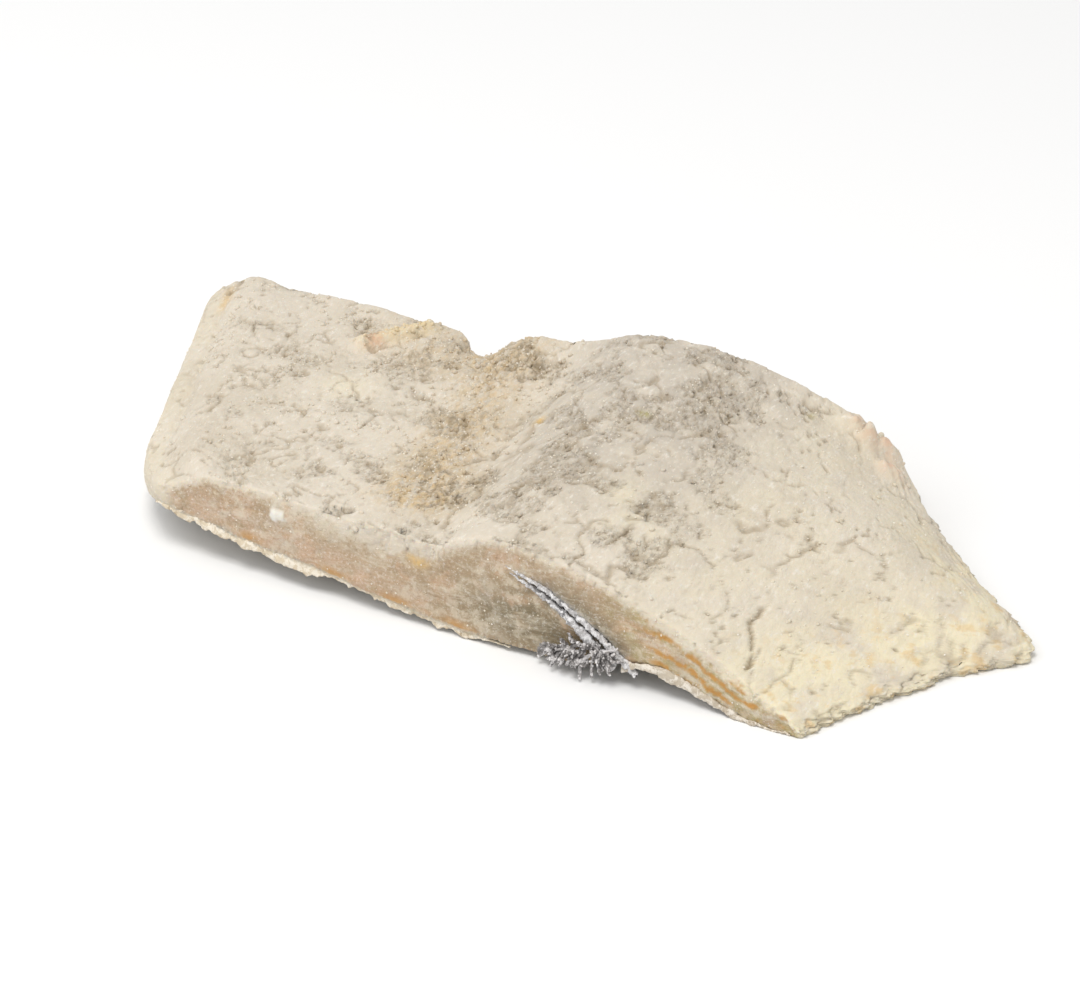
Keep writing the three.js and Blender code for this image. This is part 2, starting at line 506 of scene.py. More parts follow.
class Nodes:
    """A material and short calls that add and join its nodes."""

    def __init__(self, name: str) -> None:
        """Starts an empty material.

        Args:
            name: the material's name.
        """
        self.material = bpy.data.materials.new(name)
        self.material.use_nodes = True
        self.tree = self.material.node_tree
        self.tree.nodes.clear()
        self.place = self.add("ShaderNodeTexCoord").outputs["Object"]

    def add(self, kind: str, **settings: object) -> bpy.types.Node:
        """Adds a node and sets its properties.

        Args:
            kind: the node's type.
            settings: its properties.

        Returns:
            The new node.
        """
        node = self.tree.nodes.new(kind)
        for key, value in settings.items():
            setattr(node, key, value)
        return node

    def feed(self, socket: Socket, value: object) -> None:
        """Joins a socket to another, or sets it to a number or a colour.

        Args:
            socket: the input.
            value: another socket, a number or a colour.
        """
        if isinstance(value, Socket):
            self.tree.links.new(value, socket)
        elif isinstance(value, tuple) and len(value) == 3 and len(socket.default_value) == 4:
            socket.default_value = (*value, 1.0)
        else:
            socket.default_value = value

    def sum(self, kind: str, a: object, b: object = 0.0) -> Socket:
        """A Math node.

        Args:
            kind: the operation.
            a: first value.
            b: second value.

        Returns:
            The result's socket.
        """
        node = self.add("ShaderNodeMath", operation=kind)
        self.feed(node.inputs[0], a)
        self.feed(node.inputs[1], b)
        return node.outputs[0]

    def times(self, a: object, b: object) -> Socket:
        """The product of two values."""
        return self.sum("MULTIPLY", a, b)

    def blend(self, a: object, b: object, share: object) -> Socket:
        """A colour between a and b.

        Args:
            a: colour at share 0.
            b: colour at share 1.
            share: how much of b.

        Returns:
            The colour's socket.
        """
        node = self.add("ShaderNodeMix", data_type="RGBA")
        self.feed(node.inputs[0], share)
        self.feed(node.inputs[6], a)
        self.feed(node.inputs[7], b)
        return node.outputs[2]

    def ramp(self, value: object, low: float, high: float, start: float = 0.0, end: float = 1.0) -> Socket:
        """A value stretched smoothly from low..high to start..end.

        Args:
            value: what is stretched.
            low: where it starts.
            high: where it ends.
            start: result at low.
            end: result at high.

        Returns:
            The result's socket.
        """
        node = self.add("ShaderNodeMapRange", interpolation_type="SMOOTHSTEP")
        for socket, number in zip(node.inputs, (value, low, high, start, end)):
            self.feed(socket, number)
        return node.outputs[0]

    def stretched(self, scale: Colour, turn: Colour = (0.0, 0.0, 0.0)) -> Socket:
        """The object's coordinates, turned and then scaled.

        Args:
            scale: factors along x, y and z.
            turn: angles about x, y and z.

        Returns:
            The coordinates' socket.
        """
        node = self.add("ShaderNodeMapping")
        self.feed(node.inputs["Vector"], self.place)
        node.inputs["Rotation"].default_value = turn
        node.inputs["Scale"].default_value = scale
        return node.outputs[0]

    def cloud(
        self, size: float, detail: float = 4.0, rough: float = 0.55, warp: float = 0.0, on: object = None
    ) -> Socket:
        """Fractal noise whose largest lumps are size millimetres across.

        Args:
            size: size of the lumps, in millimetres.
            detail: how many finer layers.
            rough: how strong each is.
            warp: how far the lumps are bent.
            on: coordinates, if not the plain ones.

        Returns:
            Noise from 0 to 1.
        """
        node = self.add("ShaderNodeTexNoise")
        self.feed(node.inputs["Vector"], on or self.place)
        node.inputs["Scale"].default_value = 1.0 / (size * MM)
        node.inputs["Detail"].default_value = detail
        node.inputs["Roughness"].default_value = rough
        node.inputs["Distortion"].default_value = warp
        return node.outputs["Fac"]

    def spots(self, size: float, feature: str = "F1", on: object = None) -> bpy.types.Node:
        """Cells that are size millimetres across.

        Args:
            size: size of the cells, in millimetres.
            feature: what the node measures.
            on: coordinates, if not the plain ones.

        Returns:
            The node.
        """
        node = self.add("ShaderNodeTexVoronoi", feature=feature)
        self.feed(node.inputs["Vector"], on or self.place)
        node.inputs["Scale"].default_value = 1.0 / (size * MM)
        return node

    def mask(self, name: str) -> Socket:
        """A mask that is stored on the mesh."""
        return self.add("ShaderNodeAttribute", attribute_name=name).outputs["Fac"]

    def bump(self, height: object, depth: float, strength: object = 1.0, below: object = None) -> Socket:
        """A normal that is tilted by a height of depth millimetres.

        Args:
            height: the height, from 0 to 1.
            depth: what a height of 1 stands for, in millimetres.
            strength: how much of it shows.
            below: the normal that it tilts.

        Returns:
            The normal's socket.
        """
        node = self.add("ShaderNodeBump")
        self.feed(node.inputs["Strength"], strength)
        node.inputs["Distance"].default_value = depth * MM
        self.feed(node.inputs["Height"], height)
        if below is not None:
            self.feed(node.inputs["Normal"], below)
        return node.outputs[0]

    def finish(self, colour: object, rough: object, normal: object, **sockets: object) -> Material:
        """Adds the surface shader and returns the material.

        Args:
            colour: base colour.
            rough: roughness.
            normal: normal, or None.
            sockets: further inputs of the shader by name, with _ for each space.

        Returns:
            The finished material.
        """
        shader = self.add("ShaderNodeBsdfPrincipled")
        self.feed(shader.inputs["Base Color"], colour)
        self.feed(shader.inputs["Roughness"], rough)
        if normal is not None:
            self.feed(shader.inputs["Normal"], normal)
        for name, value in sockets.items():
            self.feed(shader.inputs[name.replace("_", " ")], value)
        output = self.add("ShaderNodeOutputMaterial")
        self.tree.links.new(shader.outputs[0], output.inputs["Surface"])
        return self.material


@dataclass(frozen=True)
class CrustFinish:
    """Salt-crusted flesh: matte cream, with painted brown shade in its pits and creases, golden rough
    patches and a yellow belly edge.
    """

    cream: Colour = (0.664, 0.596, 0.495)
    beige: Colour = (0.607, 0.539, 0.437)
    # Painted shade of the crust's pits and creases.
    painted_pit_shade: Colour = (0.335, 0.26, 0.168)
    gold: Colour = (0.64, 0.485, 0.29)
    cool: Colour = (0.53, 0.475, 0.40)
    yellow: Colour = (0.775, 0.695, 0.505)
    rose: Colour = (0.68, 0.43, 0.29)
    ochre: Colour = (0.70, 0.47, 0.19)
    moss: Colour = (0.40, 0.36, 0.14)
    salt: Colour = (0.77, 0.725, 0.645)
    fibre: float = 0.5

    def colour(self, n: Nodes) -> Socket:
        """The crust's colour, from masks on the mesh and from finer noise.

        Args:
            n: the material's nodes.

        Returns:
            The colour's socket.
        """
        along = n.stretched((1.0, self.fibre, 1.0))
        tone = n.blend(self.beige, self.cream, n.ramp(n.cloud(24, 3), 0.34, 0.60))
        stains = {
            "cool": n.ramp(n.cloud(8, 3), 0.3, 0.65, 0.2, 1.0),
            "yellow": n.ramp(n.cloud(9, 4), 0.25, 0.6),
            "gold": n.ramp(n.cloud(2.0, 6, 0.75, on=along), 0.36, 0.62),
            "rose": n.ramp(n.cloud(3, 4), 0.3, 0.6),
            "ochre": n.ramp(n.cloud(2.5, 4), 0.25, 0.55),
            "moss": n.ramp(n.cloud(1.5, 3), 0.3, 0.5),
        }
        for name, patches in stains.items():
            tone = n.blend(tone, getattr(self, name), n.times(n.mask(name), patches))
        grain = n.cloud(1.3, 6, 0.75, on=along)
        tone = n.blend(tone, self.salt, n.ramp(grain, 0.52, 0.70, 0.0, 0.8))
        broken = n.ramp(n.mask("broken"), 0.0, 1.0, 0.22, 1.0)
        # Dark specks where the grain noise is low, in the broken patches: painted shade of pits between the
        # grains.
        tone = n.blend(tone, self.painted_pit_shade, n.times(n.ramp(grain, 0.46, 0.30, 0.0, 0.5), broken))
        # Thin dark lines of painted crease shade, in the broken patches.
        crease_line_shade = n.times(self.painted_crease_lines(n), n.ramp(n.mask("broken"), 0.25, 0.9, 0.0, 0.5))
        tone = n.blend(tone, self.painted_pit_shade, crease_line_shade)
        # Painted shade, darker the deeper a point lies in the creases and pits.
        return n.blend(tone, self.painted_pit_shade, n.times(n.mask("painted_cavity_shade"), 0.9))

    def painted_crease_lines(self, n: Nodes) -> Socket:
        """Painted shade of short creases between the crumbs, as thin dark winding lines that come and go.
        """
        wrinkle = n.sum("ABSOLUTE", n.sum("SUBTRACT", n.cloud(2.6, 3, 0.6, 0.7), 0.5))
        return n.times(n.ramp(wrinkle, 0.035, 0.008), n.ramp(n.cloud(4.0, 4, 0.7), 0.46, 0.58))

    def relief(self, n: Nodes) -> Socket:
        """The crust's fine roughness as a normal.

        Args:
            n: the material's nodes.

        Returns:
            The normal's socket.
        """
        along = n.stretched((1.0, self.fibre, 1.0))
        broken = n.mask("broken")
        coarse = n.bump(n.cloud(2.2, 6, 0.65, 0.3, on=along), 1.2, n.ramp(broken, 0.0, 1.0, 0.4, 0.95))
        crumb = n.spots(1.1, on=along).outputs["Distance"]
        crumbs = n.bump(crumb, -0.45, n.ramp(broken, 0.0, 1.0, 0.2, 0.9), coarse)
        return n.bump(n.cloud(0.5, 3, 0.7, on=along), 0.2, 0.5, crumbs)

    def material(self) -> Material:
        """Builds the material.

        Returns:
            The finished material.
        """
        n = Nodes("salt_crust")
        rough = n.ramp(n.cloud(3, 3), 0.3, 0.7, 0.78, 0.95)
        sockets = {"Specular_IOR_Level": 0.28, "Subsurface_Weight": 0.1, "Subsurface_Scale": 1.5 * MM}
        sockets["Subsurface_Radius"] = (1.0, 0.6, 0.35)
        return n.finish(self.colour(n), rough, self.relief(n), **sockets)


@dataclass(frozen=True)
class SawCutFinish:
    """The saw cut: waxy amber flesh that lets light in, with fine muscle lines and white specks."""

    amber: Colour = (0.425, 0.315, 0.195)
    honey: Colour = (0.44, 0.37, 0.165)
    pink: Colour = (0.54, 0.385, 0.265)
    # An olive stain, also used as painted shade on the cut just above the fold's groove.
    olive_stain_and_fold_shade: Colour = (0.19, 0.152, 0.085)
    pale: Colour = (0.66, 0.60, 0.48)
    line: Colour = (0.68, 0.60, 0.47)
    orange: Colour = (0.52, 0.275, 0.075)
    silver: Colour = (0.50, 0.49, 0.49)
    # Near black: painted shadow deep in the fold's groove.
    dark: Colour = (0.03, 0.028, 0.028)
    shade: Colour = (0.26, 0.18, 0.105)
    blush: Colour = (0.56, 0.37, 0.24)
    ash: Colour = (0.52, 0.455, 0.355)
    white: Colour = (0.78, 0.755, 0.69)
    crust: CrustFinish = CrustFinish()

    def colour(self, n: Nodes) -> Socket:
        """The cut's colour.

        Args:
            n: the material's nodes.

        Returns:
            The colour's socket.
        """
        tone = self.amber
        stains = {
            "honey": n.ramp(n.cloud(5, 3), 0.3, 0.6),
            "pink": n.ramp(n.cloud(6, 5, 0.65, 0.6), 0.3, 0.58),
            "olive_stain_and_fold_shade": n.ramp(n.cloud(6, 3), 0.1, 0.5),
        }
        for name, patches in stains.items():
            tone = n.blend(tone, getattr(self, name), n.times(n.mask(name), patches))
        tone = n.blend(tone, self.blush, n.ramp(n.cloud(13, 4, 0.6, 0.8), 0.50, 0.64, 0.0, 0.6))
        tone = n.blend(tone, self.ash, n.ramp(n.cloud(9, 5, 0.65, 0.8), 0.53, 0.66, 0.0, 0.5))
        along = n.stretched((1.0, 1.0, 4.0), (0.0, -0.12, 0.0))
        muscle = n.cloud(8, 5, 0.65, 0.9, on=along)
        tone = n.blend(tone, self.line, n.ramp(muscle, 0.50, 0.64, 0.0, 0.35))
        milky = n.times(n.mask("pale"), n.ramp(n.cloud(4, 5, 0.65), 0.3, 0.6, 0.15, 1.0))
        tone = n.blend(tone, self.pale, milky)
        fine = n.cloud(0.95, 5, 0.8)
        tone = n.blend(tone, self.crust.salt, n.ramp(fine, 0.50, 0.72, 0.0, 0.75))
        tone = n.blend(tone, self.shade, n.ramp(fine, 0.48, 0.30, 0.0, 0.6))
        frost = n.times(n.ramp(n.cloud(3.2, 5, 0.7), 0.46, 0.62), n.ramp(n.cloud(13, 2), 0.42, 0.6))
        tone = n.blend(tone, self.line, n.times(frost, 0.6))
        tone = n.blend(tone, self.orange, n.times(n.mask("orange"), n.ramp(n.cloud(3, 4), 0.3, 0.5)))
        tone = n.blend(tone, self.crust.ochre, n.times(n.mask("ochre"), n.ramp(n.cloud(2, 4), 0.3, 0.55)))
        tone = n.blend(tone, self.silver, n.mask("silver"))
        # Painted shadow in the fold's groove.
        tone = n.blend(tone, self.dark, n.mask("painted_cavity_shade"))
        veil = n.times(n.mask("crust"), n.ramp(n.cloud(1.6, 5, 0.7), 0.22, 0.5, 0.75, 1.0))
        tone = n.blend(tone, self.crust.colour(n), veil)
        specks = n.ramp(n.spots(1.3).outputs["Distance"], 0.17, 0.06)
        tone = n.blend(tone, self.crust.salt, n.times(specks, n.ramp(n.cloud(4, 2), 0.45, 0.6, 0.0, 0.9)))
        return n.blend(tone, self.white, n.mask("white"))

    def material(self) -> Material:
        """Builds the material.

        Returns:
            The finished material.
        """
        n = Nodes("saw_cut_flesh")
        rough = n.ramp(n.mask("crust"), 0.1, 0.8, 0.48, 0.9)
        fine = n.bump(n.cloud(0.8, 5, 0.7), 0.3, 0.7)
        along = n.stretched((1.0, 1.0, 4.0), (0.0, -0.12, 0.0))
        normal = n.bump(n.cloud(3.5, 5, 0.65, 0.5, on=along), 0.6, 0.6, fine)
        sockets = {"Specular_IOR_Level": 0.38, "Subsurface_Weight": 0.25, "Subsurface_Scale": 3.0 * MM}
        return n.finish(self.colour(n), rough, normal, Subsurface_Radius=(1.0, 0.6, 0.3), **sockets)


@dataclass(frozen=True)
class SkinFinish:
    """Salted cod skin: grey-brown leather with paler mottling, small scales and a dusting of salt."""

    dark: Colour = (0.13, 0.108, 0.083)
    grey: Colour = (0.27, 0.24, 0.195)
    pale: Colour = (0.52, 0.475, 0.395)
    cream: Colour = (0.66, 0.61, 0.52)
    salt: Colour = (0.80, 0.77, 0.70)

    def colour(self, n: Nodes, scales: Socket) -> Socket:
        """The skin's colour: dark along the fish's back, cream at the belly, with a pale side line.

        Args:
            n: the material's nodes.
            scales: distance from each scale's edge.

        Returns:
            The colour's socket.
        """
        tone = n.blend(self.dark, self.grey, n.ramp(n.cloud(9, 4, 0.6, 0.8), 0.36, 0.6))
        tone = n.blend(tone, self.pale, n.ramp(n.cloud(7, 5, 0.65, 0.6), 0.52, 0.64, 0.0, 0.7))
        flank = n.blend(self.pale, self.cream, n.ramp(n.cloud(12, 3), 0.35, 0.6))
        patchy = n.ramp(n.cloud(8, 5, 0.7, 0.6), 0.4, 0.6, 0.35, 0.95)
        tone = n.blend(tone, flank, n.times(n.mask("flank"), patchy))
        tone = n.blend(tone, self.cream, n.mask("side_line"))
        tone = n.blend(tone, self.dark, n.ramp(scales, 0.10, 0.02, 0.0, 0.45))
        drifts = n.ramp(n.cloud(16, 3), 0.35, 0.6, 0.3, 0.95)
        dust = n.times(n.ramp(n.cloud(2.0, 6, 0.75), 0.50, 0.66), drifts)
        tone = n.blend(tone, self.salt, dust)
        return n.blend(tone, self.salt, n.mask("crust"))

    def material(self) -> Material:
        """Builds the material.

        Returns:
            The finished material.
        """
        n = Nodes("cod_skin")
        scales = n.spots(1.7, "DISTANCE_TO_EDGE", n.stretched((1.0, 0.6, 1.0))).outputs["Distance"]
        creased = n.bump(n.cloud(7, 5, 0.6, 0.6, on=n.stretched((1.0, 0.4, 1.0))), 1.6, 0.8)
        normal = n.bump(n.ramp(scales, 0.0, 0.25), 0.3, 0.7, creased)
        normal = n.bump(n.cloud(2.0, 6, 0.7), 0.5, 0.6, normal)
        rough = n.ramp(n.cloud(4, 3), 0.3, 0.7, 0.5, 0.85)
        return n.finish(self.colour(n, scales), rough, normal, Specular_IOR_Level=0.4)


@dataclass(frozen=True)
class SpeckledFinish:
    """A dark or silver ground with caked salt: the fold's skin, the torn rim and the fin's rays."""

    name: str
    ground: Colour
    salt: Colour
    dark: Colour
    cover: float = 0.5
    grain: float = 1.0
    rough: float = 0.7

    def material(self) -> Material:
        """Builds the material.

        Returns:
            The finished material.
        """
        n = Nodes(self.name)
        edge = 0.72 - 0.4 * self.cover
        soiled = n.ramp(n.cloud(1.6 * self.grain, 4, 0.7), 0.46, 0.34, 0.0, 0.8)
        tone = n.blend(self.ground, self.dark, soiled)
        tone = n.blend(tone, self.salt, n.ramp(n.cloud(self.grain, 5, 0.75, 0.3), edge - 0.06, edge + 0.06))
        normal = n.bump(n.cloud(0.8 * self.grain, 5, 0.75), 0.5, 0.8)
        return n.finish(tone, self.rough, normal, Specular_IOR_Level=0.4)


class Finish(Enum):
    """The finishes of the small pieces."""

    FOLD = SpeckledFinish(
        "silver_fold_skin", (0.48, 0.465, 0.46), (0.82, 0.81, 0.81), (0.09, 0.09, 0.10), 0.54, 1.7
    )
    STRIP = SpeckledFinish(
        "silver_skin_strip", (0.53, 0.46, 0.36), (0.77, 0.71, 0.62), (0.30, 0.22, 0.13), 0.5, 1.8
    )
    RIM = SpeckledFinish(
        "caked_salt_rim", (0.68, 0.58, 0.43), (0.84, 0.77, 0.65), (0.40, 0.30, 0.18), 0.5, 1.8, 0.85
    )
    FIN = SpeckledFinish(
        "salted_fin_rays", (0.225, 0.21, 0.204), (0.74, 0.715, 0.71), (0.04, 0.036, 0.034), 0.5, 2.6
    )
    FIN_SALT = SpeckledFinish(
        "fin_salt", (0.52, 0.495, 0.485), (0.80, 0.775, 0.765), (0.22, 0.21, 0.21), 0.6, 2.6
    )
    SALT = SpeckledFinish(
        "salt_grains", (0.76, 0.69, 0.57), (0.84, 0.80, 0.72), (0.55, 0.47, 0.35), 0.4, 2.0, 0.85
    )


# ---- meshes ----


def show(thing: Piece) -> None:
    """Puts an object in the scene."""
    bpy.context.scene.collection.objects.link(thing)


def new_piece(name: str, points: Array, faces: list[tuple[int, ...]], placing: Placing) -> Piece:
    """Makes an object from points in the working frame.

    Args:
        name: the piece's name.
        points: one row for each vertex, in millimetres.
        faces: vertex numbers of each face, counter-clockwise from outside.
        placing: carries the points to the model's frame.

    Returns:
        The new object, at the origin, smooth shaded.
    """
    mesh = bpy.data.meshes.new(name)
    mesh.from_pydata(placing.metres(points).tolist(), [], faces)
    mesh.polygons.foreach_set("use_smooth", [True] * len(mesh.polygons))
    mesh.update()
    piece = bpy.data.objects.new(name, mesh)
    show(piece)
    return piece


def store(mesh: bpy.types.Mesh, masks: dict[str, Array]) -> None:
    """Stores each mask on the mesh, one value for each vertex."""
    for name, values in masks.items():
        mesh.attributes.new(name, "FLOAT", "POINT").data.foreach_set("value", np.clip(values, 0, 1))


def declare(piece: Piece) -> Piece:
    """Says what the piece rides on, and reports it.

    Args:
        piece: a finished piece.

    Returns:
        The same piece.
    """
    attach(piece, BODY)
    log.info("%s: %d faces", piece.name, len(piece.data.polygons))
    return piece


class Side(Enum):
    """The six sides of the slab, in the order of their faces."""

    TOP = 0
    LEFT = 1
    RIGHT = 2
    FRONT = 3
    BACK = 4
    SKIN = 5


@dataclass
class Lattice:
    """A box's surface as a lattice, with larger cells on the skin side."""

    nu: int
    nv: int
    nw: int
    skin_step: int = 4
    ids: Array = field(init=False)
    shares: Array = field(init=False)
    faces: list[tuple[int, ...]] = field(init=False)
    sides: list[Side] = field(init=False)

    def __post_init__(self) -> None:
        """Numbers the vertices and lists the faces."""
        nu, nv, nw = self.nu, self.nv, self.nw
        used = np.zeros((nu + 1, nv + 1, nw + 1), bool)
        used[:, :, nw] = True
        used[[0, nu], :, :] = True
        used[:, [0, nv], :] = True
        used[:: self.skin_step, :: self.skin_step, 0] = True
        self.ids = np.full(used.shape, -1)
        self.ids[used] = np.arange(used.sum())
        self.shares = np.argwhere(used) / np.array([nu, nv, nw])
        self.faces, self.sides = [], []
        self.list_sides()
        self.list_skin()

    def rings(self) -> Array:
        """How many cells each vertex lies from the nearest edge of the box.

        Returns:
            One count for each vertex.
        """
        size = np.array([self.nu, self.nv, self.nw])
        steps = np.rint(self.shares * size)
        return np.sort(np.minimum(steps, size - steps), axis=1)[:, 1]

    def quads(self, grid: Array, side: Side, flip: bool) -> None:
        """Adds the quads of a two-way grid of vertex numbers.

        Args:
            grid: vertex numbers, by row and column.
            side: the side that they lie on.
            flip: whether the grid runs the other way round, as seen from outside.
        """
        a, b, c, d = grid[:-1, :-1], grid[1:, :-1], grid[1:, 1:], grid[:-1, 1:]
        corners = (a, d, c, b) if flip else (a, b, c, d)
        quads = np.stack([k.ravel() for k in corners], axis=1).tolist()
        self.faces += [tuple(q) for q in quads]
        self.sides += [side] * len(quads)

    def list_sides(self) -> None:
        """Lists every face but the skin side's."""
        self.quads(self.ids[:, :, self.nw], Side.TOP, False)
        self.quads(self.ids[0], Side.LEFT, True)
        self.quads(self.ids[self.nu], Side.RIGHT, False)
        self.quads(self.ids[:, 0], Side.FRONT, False)
        self.quads(self.ids[:, self.nv], Side.BACK, True)

    def list_skin(self) -> None:
        """Lists the skin side's faces, each as a ring that takes in the finer vertices of the rim."""
        step = self.skin_step
        there = [(0, k) for k in range(step)] + [(k, step) for k in range(step)]
        loop = there + [(step - a, step - b) for a, b in there]
        for i in range(0, self.nu, step):
            for j in range(0, self.nv, step):
                ring = [int(self.ids[i + a, j + b, 0]) for a, b in loop]
                self.faces.append(tuple(k for k in ring if k >= 0))
                self.sides.append(Side.SKIN)


@dataclass
class FoldPath:
    """The fold of skin in the front cut, from its upper end down to the fin, in x and z."""

    start: Place = (102.0, 24.8)
    end: Place = (134.0, 6.6)
    sag: float = 2.4

    def at(self, share: Array) -> Array:
        """Points along the fold.

        Args:
            share: shares of its length, from its upper end.

        Returns:
            One x, z row for each share.
        """
        share = np.asarray(share, float)
        line = mix(np.array(self.start), np.array(self.end), share[:, None])
        line[:, 1] += self.sag * np.sin(math.pi * share)
        return line

    def near(self, x: Array, z: Array) -> tuple[Array, Array]:
        """Share along the fold and signed distance above it, for points of the cut.

        Args:
            x: places along the cut.
            z: heights on the cut.

        Returns:
            The share along the fold, and the distance above its line in millimetres.
        """
        (x0, z0), (x1, z1) = self.start, self.end
        length = math.hypot(x1 - x0, z1 - z0)
        along = ((x - x0) * (x1 - x0) + (z - z0) * (z1 - z0)) / length**2
        aside = (-(x - x0) * (z1 - z0) + (z - z0) * (x1 - x0)) / length
        return along, aside - self.sag * np.sin(math.pi * np.clip(along, 0, 1))


@dataclass(frozen=True)
class Ways:
    """Measures of each point of the plain form, by which the details find their places.

    x, y and z are its place and u, v and w its shares of the length, depth and height. The rest are its
    distances from the flesh side, the skin side, the left end and the right end.
    """

    x: Array
    y: Array
    z: Array
    u: Array
    v: Array
    w: Array
    above: Array
    below: Array
    left: Array
    right: Array

    def take(self, names: str) -> tuple[Array, ...]:
        """The named measures, in the order given."""
        return tuple(getattr(self, name) for name in names.split())


@dataclass
class SlabBody:
    """The slab itself: flesh, crust and skin in one closed mesh."""

    lattice: Lattice = field(default_factory=lambda: Lattice(400, 168, 20))
    fold: FoldPath = field(default_factory=FoldPath)
    rounding: int = 5
    crust_height: float = 0.75
    fold_depth: float = 4.2
    clearance: float = 0.12
    blunt_reach: float = 6.5
    blunt_inward: Place = (3.0, 1.2)

    def base(self) -> tuple[Array, Ways]:
        """The plain form: its points, and measures that the details need.

        Returns:
            The points in millimetres, and their measures.
        """
        u, v, w = self.lattice.shares.T
        x, y, left, right = FORM.plan(u, v)
        skin = FORM.skin(x, y, left, right)
        top = np.maximum(FORM.top(x, y, v, left, right), skin + FORM.belly_edge)
        z = mix(skin, top, w)
        around = np.sin(math.pi * w)
        middle = (u > 0) & (u < 1)
        x = x - FORM.bulge_left * around * (u == 0) + FORM.bulge_right * around * (u == 1)
        y = y + FORM.bulge_cut * around * middle * ((v == 1).astype(float) - (v == 0))
        points = np.stack([x, y, z], axis=1)
        return points, Ways(x, y, z, u, v, w, top - z, z - skin, x - left, right - x)

    def rounded(self, points: Array) -> Array:
        """The points with the box's edges worn round.

        Args:
            points: the plain form.

        Returns:
            The same points, moved.
        """
        edges = set()
        for face in self.lattice.faces:
            edges.update((min(a, b), max(a, b)) for a, b in zip(face, face[1:] + face[:1]))
        a, b = np.array(sorted(edges)).T
        soft = np.clip(1.0 - self.lattice.rings() / 4.0, 0.0, 1.0)[:, None] * 0.6
        count = np.bincount(a, minlength=len(points)) + np.bincount(b, minlength=len(points))
        for _ in range(self.rounding):
            total = np.zeros_like(points)
            np.add.at(total, a, points[b])
            np.add.at(total, b, points[a])
            points = points + soft * (total / count[:, None] - points)
        return points

    def build(self, placing: Placing) -> Piece:
        """Builds the mesh, displaces its details and stores its masks.

        Args:
            placing: carries points to the model's frame.

        Returns:
            The piece, without materials.
        """
        points, ways = self.base()
        placing.fit(points)
        points = self.rounded(points)
        piece = new_piece("cod_slab_body", points, self.lattice.faces, placing)
        normals = np.empty(len(points) * 3, np.float32)
        piece.data.vertex_normals.foreach_get("vector", normals)
        detail = SlabDetail(points, normals.reshape(-1, 3).astype(float), ways, self)
        moved, masks = detail.carve()
        piece.data.vertices.foreach_set("co", placing.metres(moved).ravel())
        piece.data.update()
        store(piece.data, masks)
        return piece

    def dress(self, piece: Piece) -> None:
        """Gives each side its material.

        Args:
            piece: the slab's piece.
        """
        for material in (CrustFinish().material(), SawCutFinish().material(), SkinFinish().material()):
            piece.data.materials.append(material)
        slots = {Side.FRONT: 1, Side.BACK: 1, Side.SKIN: 2}
        piece.data.polygons.foreach_set("material_index", [slots.get(s, 0) for s in self.lattice.sides])


@dataclass(frozen=True)
class Lumps:
    """A group of round lumps or hollows on the flesh side."""

    places: tuple[Place, ...]
    radius: float
    height: float

    def at(self, x: Array, y: Array) -> Array:
        """Height of the lumps."""
        lumps = [spot(x, y, place, self.radius) for place in self.places]
        return self.height * np.max(lumps, axis=0)


@dataclass(frozen=True)
class Streak:
    """A narrow fold on the flesh side, from one place to another."""

    start: Place
    end: Place
    width: float
    height: float

    def at(self, x: Array, y: Array) -> tuple[Array, Array]:
        """How near each point lies to the fold, from 0 to 1, and its signed distance across it.

        Args:
            x: places along the slab.
            y: places across it.

        Returns:
            The nearness, and the distance in millimetres.
        """
        (x0, y0), (x1, y1) = self.start, self.end
        length = math.hypot(x1 - x0, y1 - y0)
        along = ((x - x0) * (x1 - x0) + (y - y0) * (y1 - y0)) / length**2
        across = ((x - x0) * (y1 - y0) - (y - y0) * (x1 - x0)) / length
        past = np.maximum(0, np.abs(along - 0.5) - 0.5) * length
        return bell(np.hypot(across, past), self.width), across


# Marks with a place of their own, in the working frame. The streaks and the blob lie on the front cut.
KNOB = Lumps(((147.5, 104.0), (153.0, 102.0), (157.0, 104.0), (161.5, 97.5)), 3.0, 4.4)
YELLOW_SPOTS = Lumps(((124.0, 24.0), (20.0, 62.0), (118.0, 33.0)), 7.0, 0.5)
FLAP_FOLD = Streak((11.0, 85.0), (21.0, 100.5), 3.2, 2.6)
ROSY_SPOT = (12.5, 86.5)
OCHRE_SPOT = (76.0, 64.0)
AMBER_SPOT = (77.0, 6.5)
MOSS_SPOT, SIDE_MOSS_SPOT = (104.0, 69.0), (138.0, 98.0)
ORANGE_STREAKS = ((27.0, 3.5), (52.0, 4.0), (70.0, 5.0), (88.0, 5.0))
OLIVE_PATCH = (108.0, 11.0)
BLOB_PLACE = (35.5, 21.0)
BLOB_RADIUS = 1.9
SPINE_X = 92.0


@dataclass(frozen=True)
class CrustGrain:
    """Sizes of what the crust is made of, in millimetres, and the slant that it follows, in degrees."""

    plate: float = 12.0
    lump: float = 4.4
    crumb: float = 2.2
    grit: float = 1.3
    hollow: float = 1.9
    dent: float = 5.0
    slant: float = 110.0


GRAIN = CrustGrain()


